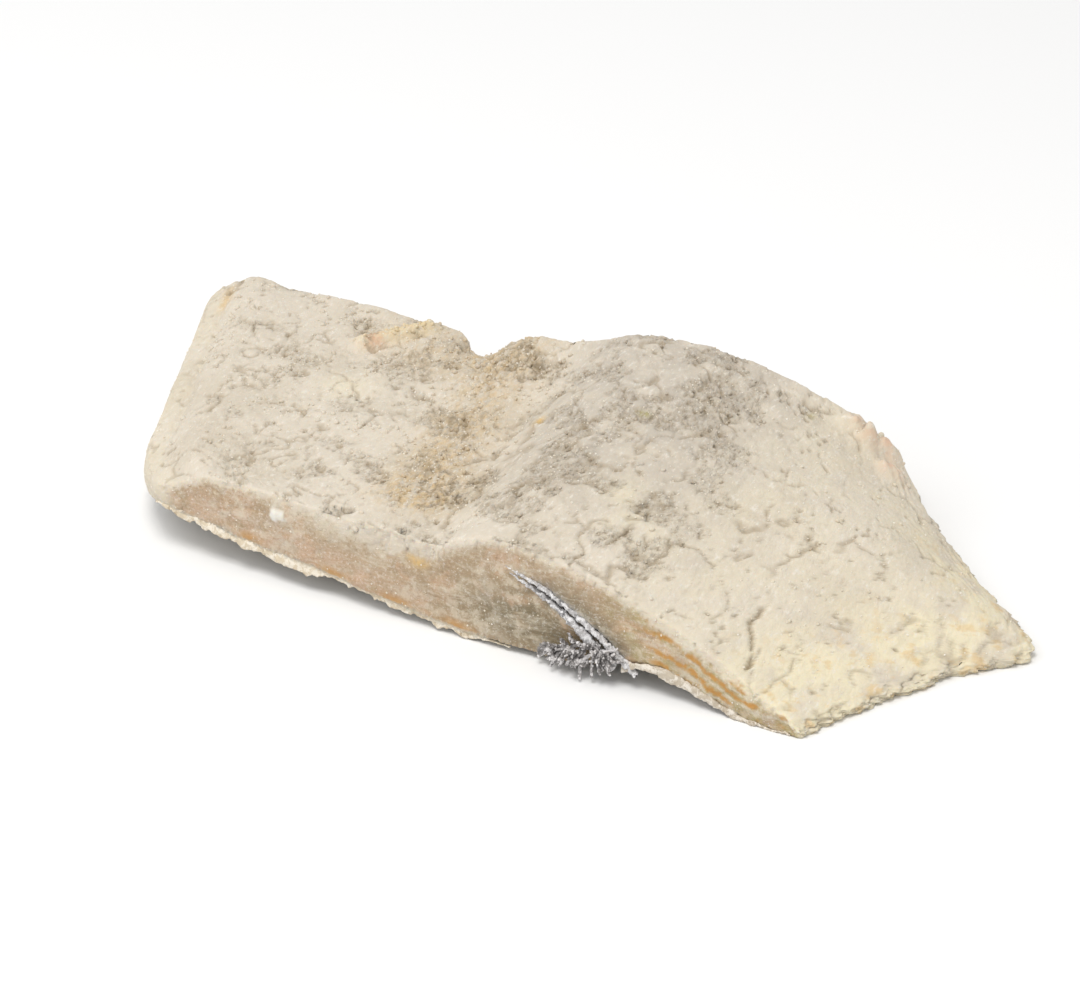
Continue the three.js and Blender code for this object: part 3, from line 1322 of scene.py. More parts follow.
@dataclass
class SlabDetail:
    """Everything that the plain form lacks: crust, pits, cut face, fold and edges."""

    points: Array
    normals: Array
    ways: Ways
    body: SlabBody
    # How deep each point lies in the creases and pits, which sets their painted shade.
    painted_pit_shade: Array = field(init=False)
    cluster: Array = field(init=False)
    broken: Array = field(init=False)
    crust: Array = field(init=False)

    def crust_share(self) -> Array:
        """How thickly salt covers each point: fully on the flesh side, raggedly just over its edges.

        Returns:
            One value for each point, from 0 to 1.
        """
        x, above, below, v, u = self.ways.take("x above below v u")
        on_cut = ((v == 0) | (v == 1)) & (above > 0)
        ragged = fibres(self.points, 4.5, 11, 5, 0.75)
        veil = 4.8 * bell(x - 66, 19) + 3.2 * bell(x - 150, 12) + 1.5 * bell(x - 168, 8)
        reach = 1.0 + veil + (1.6 + 0.3 * veil) * ragged
        soft = 0.5 + 0.25 * veil
        share = 1 - smooth(above, reach - soft, reach + soft)
        ends = 1 - smooth(np.minimum(self.ways.left, self.ways.right), 0.0, 2.5 + 1.5 * ragged)
        rim = 1 - smooth(below, 0.2, 1.0 + 0.6 * ragged)
        left_rim = rim * (1 - smooth(x, 80, 115))
        share = np.maximum(np.maximum(share, ends), left_rim)
        wrap = (1 - smooth(x, 1.0, 5.5 + 2 * ragged)) * (v == 0)
        share = np.maximum(np.maximum(share, wrap), smooth(self.blob(), 0.3, 0.6))
        fringe = 0.8 * left_rim * (1 - smooth(self.ways.y, 0.5, 5.0 + 3.0 * ragged))
        return np.where(on_cut, share, np.where((u == 0) | (u == 1) | (above == 0), 1.0, fringe))

    def blob(self) -> Array:
        """The lump of salt that sticks to the front cut.

        Returns:
            One value for each point, from 0 to 1.
        """
        x, z, v = self.ways.take("x z v")
        uneven = 0.5 * fibres(self.points, 2.5, 211, 3)
        away = np.hypot(x - BLOB_PLACE[0], z - BLOB_PLACE[1])
        return bell(away * (1 + uneven), BLOB_RADIUS) * (v == 0)

    def crust_relief(self) -> Array:
        """The crust's height, and in self.painted_pit_shade how deep each point lies in the creases and
        pits, which sets their painted shade.

        Returns:
            The crust's height, in shares of the body's crust height.
        """
        x, v, left = self.ways.take("x v left")
        crease = FORM.crease.at(v)
        hump = between(x, crease, crease + 12, 128, 150)
        gold = self.gold()
        smoothness = np.clip(0.65 * (1 - smooth(left, 3, 8)) + 0.5 * self.belly(), 0, 0.85)
        strength = (1 - smoothness) * np.clip(0.75 + 0.5 * fibres(self.points, 22, 33, 2), 0.4, 1.1)
        cluster = smooth(fibres(self.points, 13, 31, 3) + 0.2 * hump, 0.02, 0.48)
        cluster = cluster * (1 - 0.8 * smooth(x, 120, 150)) * (1 - smoothness)
        self.broken = np.clip(cluster * mix(0.45, 1.0, smooth(x, 30, 60)) + 0.65 * gold + 0.1, 0, 1)
        strength *= (1 - 0.35 * smooth(x, 125, 150)) * (0.62 + 0.48 * self.broken)
        loose = warped(self.points, 5.0, 1.5, 21)
        plates = cells(slanted(warped(self.points, 9.0, 4.0, 61), 100, 1.6), GRAIN.plate, 9)
        lumps = cells(slanted(loose, GRAIN.slant, 1.7), GRAIN.lump, 3)
        crumbs = cells(slanted(loose, GRAIN.slant, 1.8), GRAIN.crumb, 5)
        grit = cells(slanted(self.points, GRAIN.slant, 1.8), GRAIN.grit, 7)
        come_and_go = smooth(fibres(self.points, 11, 71, 3), -0.1, 0.25)
        crack = plates.cracks(0.9) * come_and_go * (1 - 0.6 * smoothness)
        hollows = cells(slanted(warped(self.points, 1.8, 0.9, 23), 98, 1.7), GRAIN.hollow, 13)
        crowded = 0.95 * cluster + 0.5 * smooth(cluster, 0, 0.3) - 0.75 - hollows.share
        pits = (1 - smooth(hollows.near, 0.15, 0.8)) * smooth(crowded, 0.0, 0.15)
        calm = (1 - 0.45 * hump) * (1 + 0.5 * cluster)
        fine = 0.28 + 0.72 * self.broken
        height = strength * (
            1.3 * (plates.domes(GRAIN.plate) - 0.4) * (1 - gold)
            + 1.4 * calm * (np.maximum(lumps.domes(GRAIN.lump), 0.6 * (1 - self.broken)) - 0.4)
            + fine * (calm * 0.6 + 0.6 * gold) * (crumbs.domes(GRAIN.crumb) - 0.35)
            + fine * (calm * 0.4 + 0.5 * gold) * (grit.domes(GRAIN.grit) - 0.35)
        )
        dents = clumps(slanted(warped(self.points, 7, 2.0, 65), 105, 1.5), GRAIN.dent, 241)
        dented = (1 - smooth(dents, 0.05, 0.3)) * smooth(fibres(self.points, 9, 243, 2), -0.1, 0.25)
        dented *= 1 - 0.7 * smooth(x, 115, 145)
        height += 0.3 * (0.4 + 0.7 * self.broken) * fibres(slanted(self.points, 100, 1.5), 2.6, 8, 5, 0.7)
        split = self.split()
        height -= 1.1 * pits + 0.9 * crack + 1.6 * split + 0.8 * dented * (1 - 0.7 * smoothness)
        creases = lumps.cracks(0.5) * 0.25 + crumbs.cracks(0.4) * (0.15 + 0.3 * cluster + 0.2 * gold)
        # Painted shade in the pits, cracks, seam, splits and dents.
        dark = 0.8 * pits + 0.6 * crack + 0.6 * self.seam() + 0.9 * split + 0.15 * dented * self.broken
        self.painted_pit_shade = np.clip(creases * strength * calm * fine + dark, 0, 1)
        self.cluster = cluster
        return height

    def split(self) -> Array:
        """The long crack across the belly flap, and a shorter one on the loin.

        Returns:
            One value for each point, from 0 to 1.
        """
        x, y = self.ways.x, self.ways.y
        wavy = x + 1.2 * fibres(self.points, 6, 221, 3)
        long = bell(wavy - 161.5 - 6.0 * smooth(-y, -18, -4), 0.55)
        long *= between(y, 2, 5, 22, 28)
        short = bell(wavy - 124 - 0.2 * (y - 20), 0.5) * between(y, 12, 15, 22, 26)
        return np.clip(long + short, 0, 1) * smooth(fibres(self.points, 3, 223, 2), -0.4, -0.1)

    def seam(self) -> Array:
        """The sharp crease where the golden band ends at the foot of the hump.

        Returns:
            One value for each point, from 0 to 1.
        """
        x, y, v = self.ways.take("x y v")
        line = x - FORM.crease.at(v) - 2.0 * fibres(self.points, 9, 191, 3)
        come_and_go = smooth(fibres(self.points, 5, 193, 3), -0.3, 0.1)
        return bell(line, 0.8) * between(y, 4, 14, 50, 80) * come_and_go

    def gold(self) -> Array:
        """The rough golden band left of the groove, which widens along the back cut.

        Returns:
            One value for each point, from 0 to 1.
        """
        x, y, v = self.ways.take("x y v")
        crease = FORM.crease.at(v)
        band = bell(x - (crease - 13), 10) * smooth(y, 6, 18) * (1 - 0.35 * smooth(y, 60, 90))
        back = spot(x, y, (34, 92), 14, 1.5)
        return np.clip(0.9 * band + 0.6 * back + 0.6 * spot(x, y, (66, 20), 10), 0, 1)

    def crumbly(self, skin: Array) -> Array:
        """Where loose crumbs stick to the crust.

        Args:
            skin: which points lie on the skin side.

        Returns:
            One value for each point, from 0 to 1.
        """
        x, left = self.ways.x, self.ways.left
        patches = smooth(fibres(self.points, 12, 181, 3), 0.0, 0.45)
        calm = np.clip(1 - smooth(left, 3, 8) + 0.85 * smooth(x, 70, 95), 0, 1)
        crowd = 0.7 * patches * (1 - calm) + 0.75 * self.gold() + 0.35 * self.cluster * smooth(x, 80, 100)
        return np.where(skin, 0, self.crust**3 * np.clip(crowd, 0, 1) * (1 - self.belly()))

    def belly(self) -> Array:
        """The thin yellow edge on the right."""
        y, right = self.ways.y, self.ways.right
        return (1 - smooth(right, 5, 34)) * (1 - smooth(y, 66, 92))

    def large_relief(self) -> Array:
        """The larger folds of the flesh side, in millimetres upwards.

        Returns:
            The height at each point.
        """
        x, y, left, right = self.ways.take("x y left right")
        near, across = FLAP_FOLD.at(x, y)
        fold = FLAP_FOLD.height * near - 1.2 * bell(across - 3.4, 1.4) * near**0.3 - 1.5 * self.seam()
        edge = left - 1.2 * fibres(self.points, 10, 95, 3)
        groove = bell(edge - 6.0, 1.0) * between(y, 12, 24, 98, 103)
        corner = 2.2 * bell(left - 5, 9) * smooth(y, 84, 103)
        waved = right + 2.6 * fibres(self.points, 11, 77, 4, 0.65)
        wrinkles = 0.36 * np.sin(1.9 * waved) * between(right, 0.5, 2, 4, 24)
        wrinkles *= smooth(fibres(self.points * np.array([1.0, 0.6, 1.0]), 8, 78, 3), -0.1, 0.35)
        torn = np.clip(1 + 0.8 * fibres(self.points, 6.0, 251, 2), 0.4, 1.5)
        return fold - groove + corner + wrinkles + KNOB.at(x, y) * torn

    def carve(self) -> tuple[Array, dict[str, Array]]:
        """Moves the points to their detailed places.

        Returns:
            The moved points, and the masks that the materials read.
        """
        x, y, z, v, w, u, above, below = self.ways.take("x y z v w u above below")
        self.crust = self.crust_share()
        height = self.crust_relief()
        cut = 1 - self.crust
        cut_height = 0.6 * fibres(self.points, 9, 41, 3) + 0.25 * fibres(self.points, 2.5, 42, 4, 0.7)
        skin = (below == 0) & (above > 0)
        skin_height = 0.5 * fibres(self.points, 6, 51, 4)
        lift = self.body.crust_height * height - 0.2
        push = np.where(skin, skin_height * 0.5, self.crust * lift + cut * (cut_height - 0.2))
        push += 1.5 * self.blob()
        along, aside = self.body.fold.near(x, z)
        front = (v == 0) & ~skin
        inside = between(along, 0.12, 0.45, 0.98, 1.06) * front
        fold = inside * bell(aside + 0.55, 0.55 + 0.5 * np.clip(along, 0, 1))
        moved = self.points + self.normals * push[:, None]
        moved[:, 2] += self.large_relief() * smooth(w, 0.4, 1.0)
        moved[:, 1] += self.body.fold_depth * fold
        moved[:, 2] = np.maximum(moved[:, 2], self.body.clearance)
        blunt = spot(x, y, (-FORM.left_flare, FORM.depth), self.body.blunt_reach)
        moved[:, 0] += self.body.blunt_inward[0] * blunt
        moved[:, 1] -= self.body.blunt_inward[1] * blunt
        teeth = 1.7 * fibres(self.points, 4.0, 91, 5, 0.72) - 0.8
        moved[:, 0] += teeth * smooth(u, 0.985, 1.0) * (y < 100)
        return moved, self.masks(fold, inside, aside, front, skin)

    def masks(
        self, fold: Array, inside: Array, aside: Array, front: Array, skin: Array
    ) -> dict[str, Array]:
        """The masks that the materials read.

        Args:
            fold: how deep in the fold's groove each point lies.
            inside: where along the fold it lies, with soft ends.
            aside: its distance above the fold's line.
            front: which points lie on the front cut.
            skin: which points lie on the skin side.

        Returns:
            Each mask by the name that the materials use.
        """
        x, y, z, v, below, above, left = self.ways.take("x y z v below above left")
        crease = FORM.crease.at(v)
        cut = front | ((v == 1) & ~skin)
        hump = between(x, crease - 2, crease + 16, 118, 160) * smooth(y, 6, 45)
        near, _ = FLAP_FOLD.at(x, y)
        rosy_knob = 0.65 * KNOB.at(x, y) / KNOB.height * smooth(x, 144, 150)
        rosy = spot(x, y, ROSY_SPOT, 3.2) + rosy_knob
        edge = left - 1.2 * fibres(self.points, 10, 95, 3)
        corner = bell(edge - 6, 1.6) * between(y, 86, 92, 99, 103)
        flecks = self.belly() * smooth(fibres(self.points, 4.5, 233, 3), 0.25, 0.45)
        ochre = spot(x, y, OCHRE_SPOT, 1.7) + 0.3 * near * smooth(y, 86, 90)
        ochre += 0.5 * (corner + flecks)
        moss = spot(x, y, MOSS_SPOT, 1.1, 1.8) + 0.7 * spot(y, x, SIDE_MOSS_SPOT[::-1], 1.1, 1.6)
        streak = bell(below - 1.6, 1.5) * sum(bell(x - place, width) for place, width in ORANGE_STREAKS)
        amber_spot = spot(x, above + 0.5 * fibres(self.points, 3, 207, 3), AMBER_SPOT, 1.3, 2.4)
        right_streaks = between(x, 136, 146, 176, 184) * smooth(below, 0.8, 1.6)
        wave = below + 0.13 * (x - 150) + 1.7 * fibres(self.points, 10, 201, 5)
        parted = smooth(fibres(self.points, 8, 203, 2), -0.4, 0)
        layered = right_streaks * smooth(np.sin(1.6 * wave), 0.1, 0.6) * parted
        white_layers = smooth(np.sin(1.6 * wave + 2.6), 0.55, 0.9)
        white_layers *= 0.85 * right_streaks * smooth(x, 146, 156)
        faint = 0.25 * (1 - smooth(edge, 4, 8)) + 0.3 * smooth(x, 120, 150)
        low = 1 - smooth(below, 4, 12)
        pink = 0.9 * low * (1 - smooth(x, 60, 100)) + 0.9 * bell(aside - 3.0, 2.6) * inside + 0.25
        # Painted shade on the cut just above the fold's groove, laid on with the olive colour.
        shaded = 0.6 * bell(aside - 2.8, 3.0) * inside
        flank = smooth(np.abs(x - SPINE_X), 30, 110) + 0.2 * fibres(self.points, 14, 231, 3)
        veiled = 1 - smooth(above, 0.5, 3.5 + 9.0 * bell(x - 60, 22) + 1.5 * fibres(self.points, 6, 205, 3))
        return {
            "crust": self.crust,
            # Painted shade: on the front cut, near black deep in the fold's groove; elsewhere, in the
            # crust's creases and pits.
            "painted_cavity_shade": np.where(front, smooth(fold, 0.45, 0.8), self.painted_pit_shade * self.crust**2 * ~skin),
            "gold": self.gold(),
            "broken": self.broken,
            "cool": hump,
            "yellow": np.clip(self.belly() + near + faint + YELLOW_SPOTS.at(x, y), 0, 1),
            "rose": np.where(cut, 0, rosy),
            "ochre": np.where(cut, amber_spot, ochre),
            "moss": np.where(cut, 0, moss),
            "flank": np.clip(flank, 0, 1),
            "side_line": 0.8 * bell(np.abs(x - SPINE_X - 3 * np.sin(y / 30)) - 62, 1.3) * skin,
            "white": 0.9 * smooth(self.blob(), 0.2, 0.6),
            "pink": np.where(cut, pink, 0),
            "orange": np.where(cut, (0.85 * streak + layered) * np.where(front, 1.0, 0.35), 0),
            # The olive stain, with painted shade just above the fold.
            "olive_stain_and_fold_shade": np.where(cut, np.clip(spot(x, z, OLIVE_PATCH, 10, 2.2) + shaded, 0, 1), 0),
            "pale": np.where(cut, np.maximum(veiled, white_layers), 0),
            "honey": np.where(cut, smooth(x, 124, 142), 0),
            "silver": inside * bell(aside, 1.6),
            "crumbly": self.crumbly(skin),
            "grainy": self.crumbly(skin) * 0.5 + 0.10 * self.crust * ~skin + 0.05 * cut,
        }


# ---- small pieces ----


def tube_faces(stations: int, around: int) -> list[tuple[int, ...]]:
    """Faces of a closed tube of rings that run clockwise as seen from its start.

    Args:
        stations: how many rings.
        around: how many points in a ring.

    Returns:
        Vertex numbers of each face.
    """
    faces = []
    for i in range(stations - 1):
        for k in range(around):
            a, b = i * around + k, i * around + (k + 1) % around
            faces.append((a, b, b + around, a + around))
    first = tuple(range(around))
    return [tuple(reversed(first)), *faces, tuple((stations - 1) * around + k for k in first)]


def outward(piece: Piece) -> None:
    """Turns every face of a closed piece outwards.

    Args:
        piece: the piece.
    """
    mesh = bmesh.new()
    mesh.from_mesh(piece.data)
    bmesh.ops.recalc_face_normals(mesh, faces=mesh.faces)
    mesh.to_mesh(piece.data)
    mesh.free()


@dataclass
class Ribbon:
    """A thin torn strip that follows a line, as rings of points.

    The middle line, the strip's half width along its own direction, and its thickness are given at each
    station, in millimetres.
    """

    name: str
    middle: Array
    wide: Array
    half: Array
    thick: Array
    finish: Finish
    rough: float = 0.3
    grain: float = 1.4
    around: int = 16
    seed: int = 1

    def build(self, placing: Placing) -> Piece:
        """Builds the strip.

        Args:
            placing: carries points to the model's frame.

        Returns:
            The piece.
        """
        along = np.gradient(self.middle, axis=0)
        flat = np.cross(along, self.wide)
        flat /= np.linalg.norm(flat, axis=1)[:, None]
        angles = np.linspace(0, 2 * math.pi, self.around, endpoint=False)
        across = np.sign(np.cos(angles)) * np.abs(np.cos(angles)) ** 0.8
        rings = self.middle[:, None] + self.wide[:, None] * (self.half[:, None] * across)[..., None]
        rings = rings + flat[:, None] * (0.5 * self.thick[:, None] * np.sin(angles))[..., None]
        points = rings.reshape(-1, 3)
        points = points + self.rough * shaken(points, self.grain, self.seed, 3, 0.7)
        piece = new_piece(self.name, points, tube_faces(len(self.middle), self.around), placing)
        piece.data.materials.append(self.finish.value.material())
        outward(piece)
        return piece


def skin_height(x: Array, y: Array) -> Array:
    """Height of the slab's skin side near the front cut."""
    return FORM.skin(x, y, np.full_like(x, 0.0), np.full_like(x, FORM.front_length))


@dataclass
class Rim:
    """The torn rim of skin and caked salt that hangs below the front cut's left part."""

    start: float = -1.5
    end: float = 103.0
    step: float = 0.35
    long_end: float = 50.0
    hang: FrontBack = FrontBack(2.6, 0.7)
    teeth: float = 1.8

    def build(self, placing: Placing) -> Piece:
        """Builds the rim.

        Args:
            placing: carries points to the model's frame.

        Returns:
            The piece.
        """
        x = np.arange(self.start, self.end, self.step)
        line = along_cut(x)
        ragged = fibres(line, 7.0, 101, 5, 0.55)
        drop = mix(self.hang.front, self.hang.back, smooth(x, self.long_end - 14, self.long_end + 10))
        drop = drop * mix(0.55, 1.0, smooth(x, 4, 20))
        ends = between(x, self.start, self.start + 4, self.end - 12, self.end)
        drop = np.maximum(0.15, (drop + self.teeth * ragged) * ends)
        base = skin_height(np.clip(x, 0, None), np.zeros_like(x))
        top, low = base + 0.8 * np.clip(ends, 0.3, 1), np.maximum(base - drop, 0.15)
        y = 0.55 + 0.4 * fibres(line, 8.0, 103, 3)
        middle = np.stack([x, y, (top + low) / 2], axis=1)
        wide = np.tile([0.0, 0.25, 0.968], (len(x), 1))
        thick = 0.8 - 0.25 * fibres(line, 4.0, 104, 2)
        half = (top - low) / 2
        rim = Ribbon("torn_rim", middle, wide, half, thick, Finish.RIM, 0.26, 1.3, around=22, seed=105)
        return rim.build(placing)


@dataclass
class FoldSkin:
    """The two lips of silver skin that line the fold, and the strip of skin that runs on to the right."""

    fold: FoldPath = field(default_factory=FoldPath)
    upper: FrontBack = FrontBack(0.35, 0.75)
    lower: FrontBack = FrontBack(0.15, 1.8)
    strip_end: float = 181.0

    def lip(self, name: str, share: Array, away: Array, half: Array, placing: Placing) -> Piece:
        """Builds one lip of the fold.

        Args:
            name: the lip's name.
            share: shares along the fold, one for each station.
            away: distance above the fold's line.
            half: half width.
            placing: carries points to the model's frame.

        Returns:
            The piece.
        """
        line = self.fold.at(share)
        slope = np.gradient(line, axis=0)
        slope /= np.linalg.norm(slope, axis=1)[:, None]
        up = np.stack([-slope[:, 1], slope[:, 0]], axis=1)
        place = line + up * away[:, None]
        middle = np.stack([place[:, 0], np.full(len(line), 0.1), place[:, 1]], axis=1)
        half = half * (1 + 0.45 * fibres(middle, 2.2, 119, 3))
        wide = np.stack([up[:, 0], np.zeros(len(line)), up[:, 1]], axis=1)
        thick = 1.3 * smooth(share, 0, 0.1) + 0.3
        seed = 120 + 10 * int(away[-1] > 0)
        lip = Ribbon(name, middle, wide, half, thick, Finish.FOLD, 0.5, 0.9, around=14, seed=seed)
        return lip.build(placing)

    def strip(self, placing: Placing) -> Piece:
        """Builds the strip of skin below the cut's right part.

        Args:
            placing: carries points to the model's frame.

        Returns:
            The piece.
        """
        x = np.arange(self.fold.end[0] + 0.5, self.strip_end, 0.4)
        line = along_cut(x)
        base = skin_height(x, np.zeros_like(x))
        ragged = fibres(line, 6.0, 141, 5, 0.6)
        drop = mix(1.9, 0.3, smooth(x, 146, 160)) + 0.7 * ragged
        rise = mix(0.7, 1.6, smooth(x, 148, 158)) * (1 - 0.8 * smooth(x, 162, self.strip_end))
        rise += 0.5 * ragged
        top, low = base + rise, np.maximum(base - drop, 0.1)
        y = np.full_like(x, 0.2) + 0.35 * fibres(line, 9.0, 143, 2)
        middle = np.stack([x, y, (top + low) / 2], axis=1)
        wide = np.tile([0.0, 0.2, 0.98], (len(x), 1))
        half = np.maximum(0.25, (top - low) / 2)
        thick = np.full_like(x, 0.95)
        finish = Finish.STRIP
        strip = Ribbon("skin_strip", middle, wide, half, thick, finish, 0.28, 1.2, around=18, seed=144)
        return strip.build(placing)

    def build(self, placing: Placing) -> list[Piece]:
        """Builds the lips and the strip.

        Args:
            placing: carries points to the model's frame.

        Returns:
            The three pieces.
        """
        share = np.linspace(0.0, 1.12, 120)
        half = mix(self.upper.front, self.upper.back, share)
        pieces = [self.lip("fold_upper_lip", share, 0.35 + half, half, placing)]
        share = np.linspace(0.04, 1.0, 110)
        half = mix(self.lower.front, self.lower.back, share**1.2)
        pieces.append(self.lip("fold_lower_lip", share, -half - 0.2 - 0.9 * share, half, placing))
        return [*pieces, self.strip(placing)]


class Tree:
    """A Geometry Nodes tree with named inputs, and short calls that add and join its nodes."""

    def __init__(self, name: str) -> None:
        """Starts a tree with a geometry input and output.

        Args:
            name: the tree's name.
        """
        self.tree = bpy.data.node_groups.new(name, "GeometryNodeTree")
        self.names: dict[str, str] = {}
        self.tree.interface.new_socket("Geometry", in_out="INPUT", socket_type="NodeSocketGeometry")
        self.tree.interface.new_socket("Geometry", in_out="OUTPUT", socket_type="NodeSocketGeometry")
        self.inputs = None

    def declare(self, **kinds: str) -> None:
        """Args:
            kinds: each input's kind, by name.
        """
        for name, kind in kinds.items():
            socket = self.tree.interface.new_socket(name, in_out="INPUT", socket_type=f"NodeSocket{kind}")
            self.names[name] = socket.identifier
        self.inputs = self.tree.nodes.new("NodeGroupInput")

    def add(self, kind: str, links: dict[str, object] | None = None, **settings: object) -> bpy.types.Node:
        """Adds a node, sets its properties, and feeds its inputs.

        Args:
            kind: the node's type.
            links: a socket or a value for each input, by name.
            settings: its properties.

        Returns:
            The new node.
        """
        node = self.tree.nodes.new(kind)
        for key, value in settings.items():
            setattr(node, key, value)
        for name, value in (links or {}).items():
            socket = next(s for s in node.inputs if s.name == name and s.enabled)
            if isinstance(value, Socket):
                self.tree.links.new(value, socket)
            else:
                socket.default_value = value
        return node

    def given(self, name: str) -> Socket:
        """One of the tree's inputs."""
        return self.inputs.outputs[name]

    def end(self, geometry: Socket, material: Material) -> None:
        """Realizes the instances and sets the material.

        Args:
            geometry: what the tree has made.
            material: its material.
        """
        real = self.add("GeometryNodeRealizeInstances", {"Geometry": geometry})
        done = self.add("GeometryNodeSetMaterial", {"Geometry": real.outputs[0], "Material": material})
        output = self.tree.nodes.new("NodeGroupOutput")
        self.tree.links.new(done.outputs[0], output.inputs[0])

    def grow(self, name: str, source: bpy.types.Mesh, values: dict[str, object]) -> Piece:
        """Runs the tree on a mesh and returns the result as a plain piece.

        Args:
            name: the new piece's name.
            source: the mesh that the tree works on.
            values: a value for each named input.

        Returns:
            The new piece, without a modifier.
        """
        piece = bpy.data.objects.new(name, source.copy())
        show(piece)
        modifier = piece.modifiers.new("grow", "NODES")
        modifier.node_group = self.tree
        for key, value in values.items():
            modifier[self.names[key]] = value
        bpy.context.view_layer.update()
        ready = piece.evaluated_get(bpy.context.evaluated_depsgraph_get())
        mesh = bpy.data.meshes.new_from_object(ready)
        piece.modifiers.remove(modifier)
        piece.data = mesh
        mesh.name = name
        return piece


@dataclass
class Grains:
    """Grains scattered over the slab where a mask on its mesh is high."""

    name: str
    mask: str
    size: FrontBack
    spacing: float
    crowd: float
    faces_level: int
    seed: int

    def build(self, slab: Piece, material: Material, smooth_faces: bool) -> Piece:
        """Scatters the grains.

        Args:
            slab: the piece that they lie on.
            material: their material.
            smooth_faces: whether they are shaded smooth.

        Returns:
            The piece.
        """
        t = Tree(self.name)
        t.declare(Smallest="Float", Largest="Float", Spacing="Float", Crowd="Float", Seed="Int")
        cover = t.add("GeometryNodeInputNamedAttribute", {"Name": self.mask})
        points = t.add(
            "GeometryNodeDistributePointsOnFaces",
            {
                "Mesh": t.given("Geometry"),
                "Distance Min": t.given("Spacing"),
                "Density Max": t.given("Crowd"),
                "Density Factor": cover.outputs["Attribute"],
                "Seed": t.given("Seed"),
            },
            distribute_method="POISSON",
        )
        grain = t.add("GeometryNodeMeshIcoSphere", {"Radius": 0.5, "Subdivisions": self.faces_level})
        smoothed = {"Geometry": grain.outputs[0], "Shade Smooth": smooth_faces}
        shaded = t.add("GeometryNodeSetShadeSmooth", smoothed)
        turns = {"Max": (6.28, 6.28, 6.28), "Seed": 3}
        turn = t.add("FunctionNodeRandomValue", turns, data_type="FLOAT_VECTOR")
        sizes = {"Min": t.given("Smallest"), "Max": t.given("Largest"), "Seed": 5}
        size = t.add("FunctionNodeRandomValue", sizes)
        shapes = {"Min": (0.6, 0.6, 0.5), "Max": (1.3, 1.2, 1.0), "Seed": 7}
        uneven = t.add("FunctionNodeRandomValue", shapes, data_type="FLOAT_VECTOR")
        scaled = {"Vector": uneven.outputs[0], "Scale": size.outputs[1]}
        scale = t.add("ShaderNodeVectorMath", scaled, operation="SCALE")
        placed = t.add(
            "GeometryNodeInstanceOnPoints",
            {
                "Points": points.outputs["Points"],
                "Instance": shaded.outputs[0],
                "Rotation": turn.outputs[0],
                "Scale": scale.outputs[0],
            },
        )
        t.end(placed.outputs[0], material)
        values = {"Smallest": self.size.front * MM, "Largest": self.size.back * MM, "Seed": self.seed}
        values |= {"Spacing": self.spacing * MM, "Crowd": self.crowd / MM**2}
        return t.grow(self.name, slab.data, values)


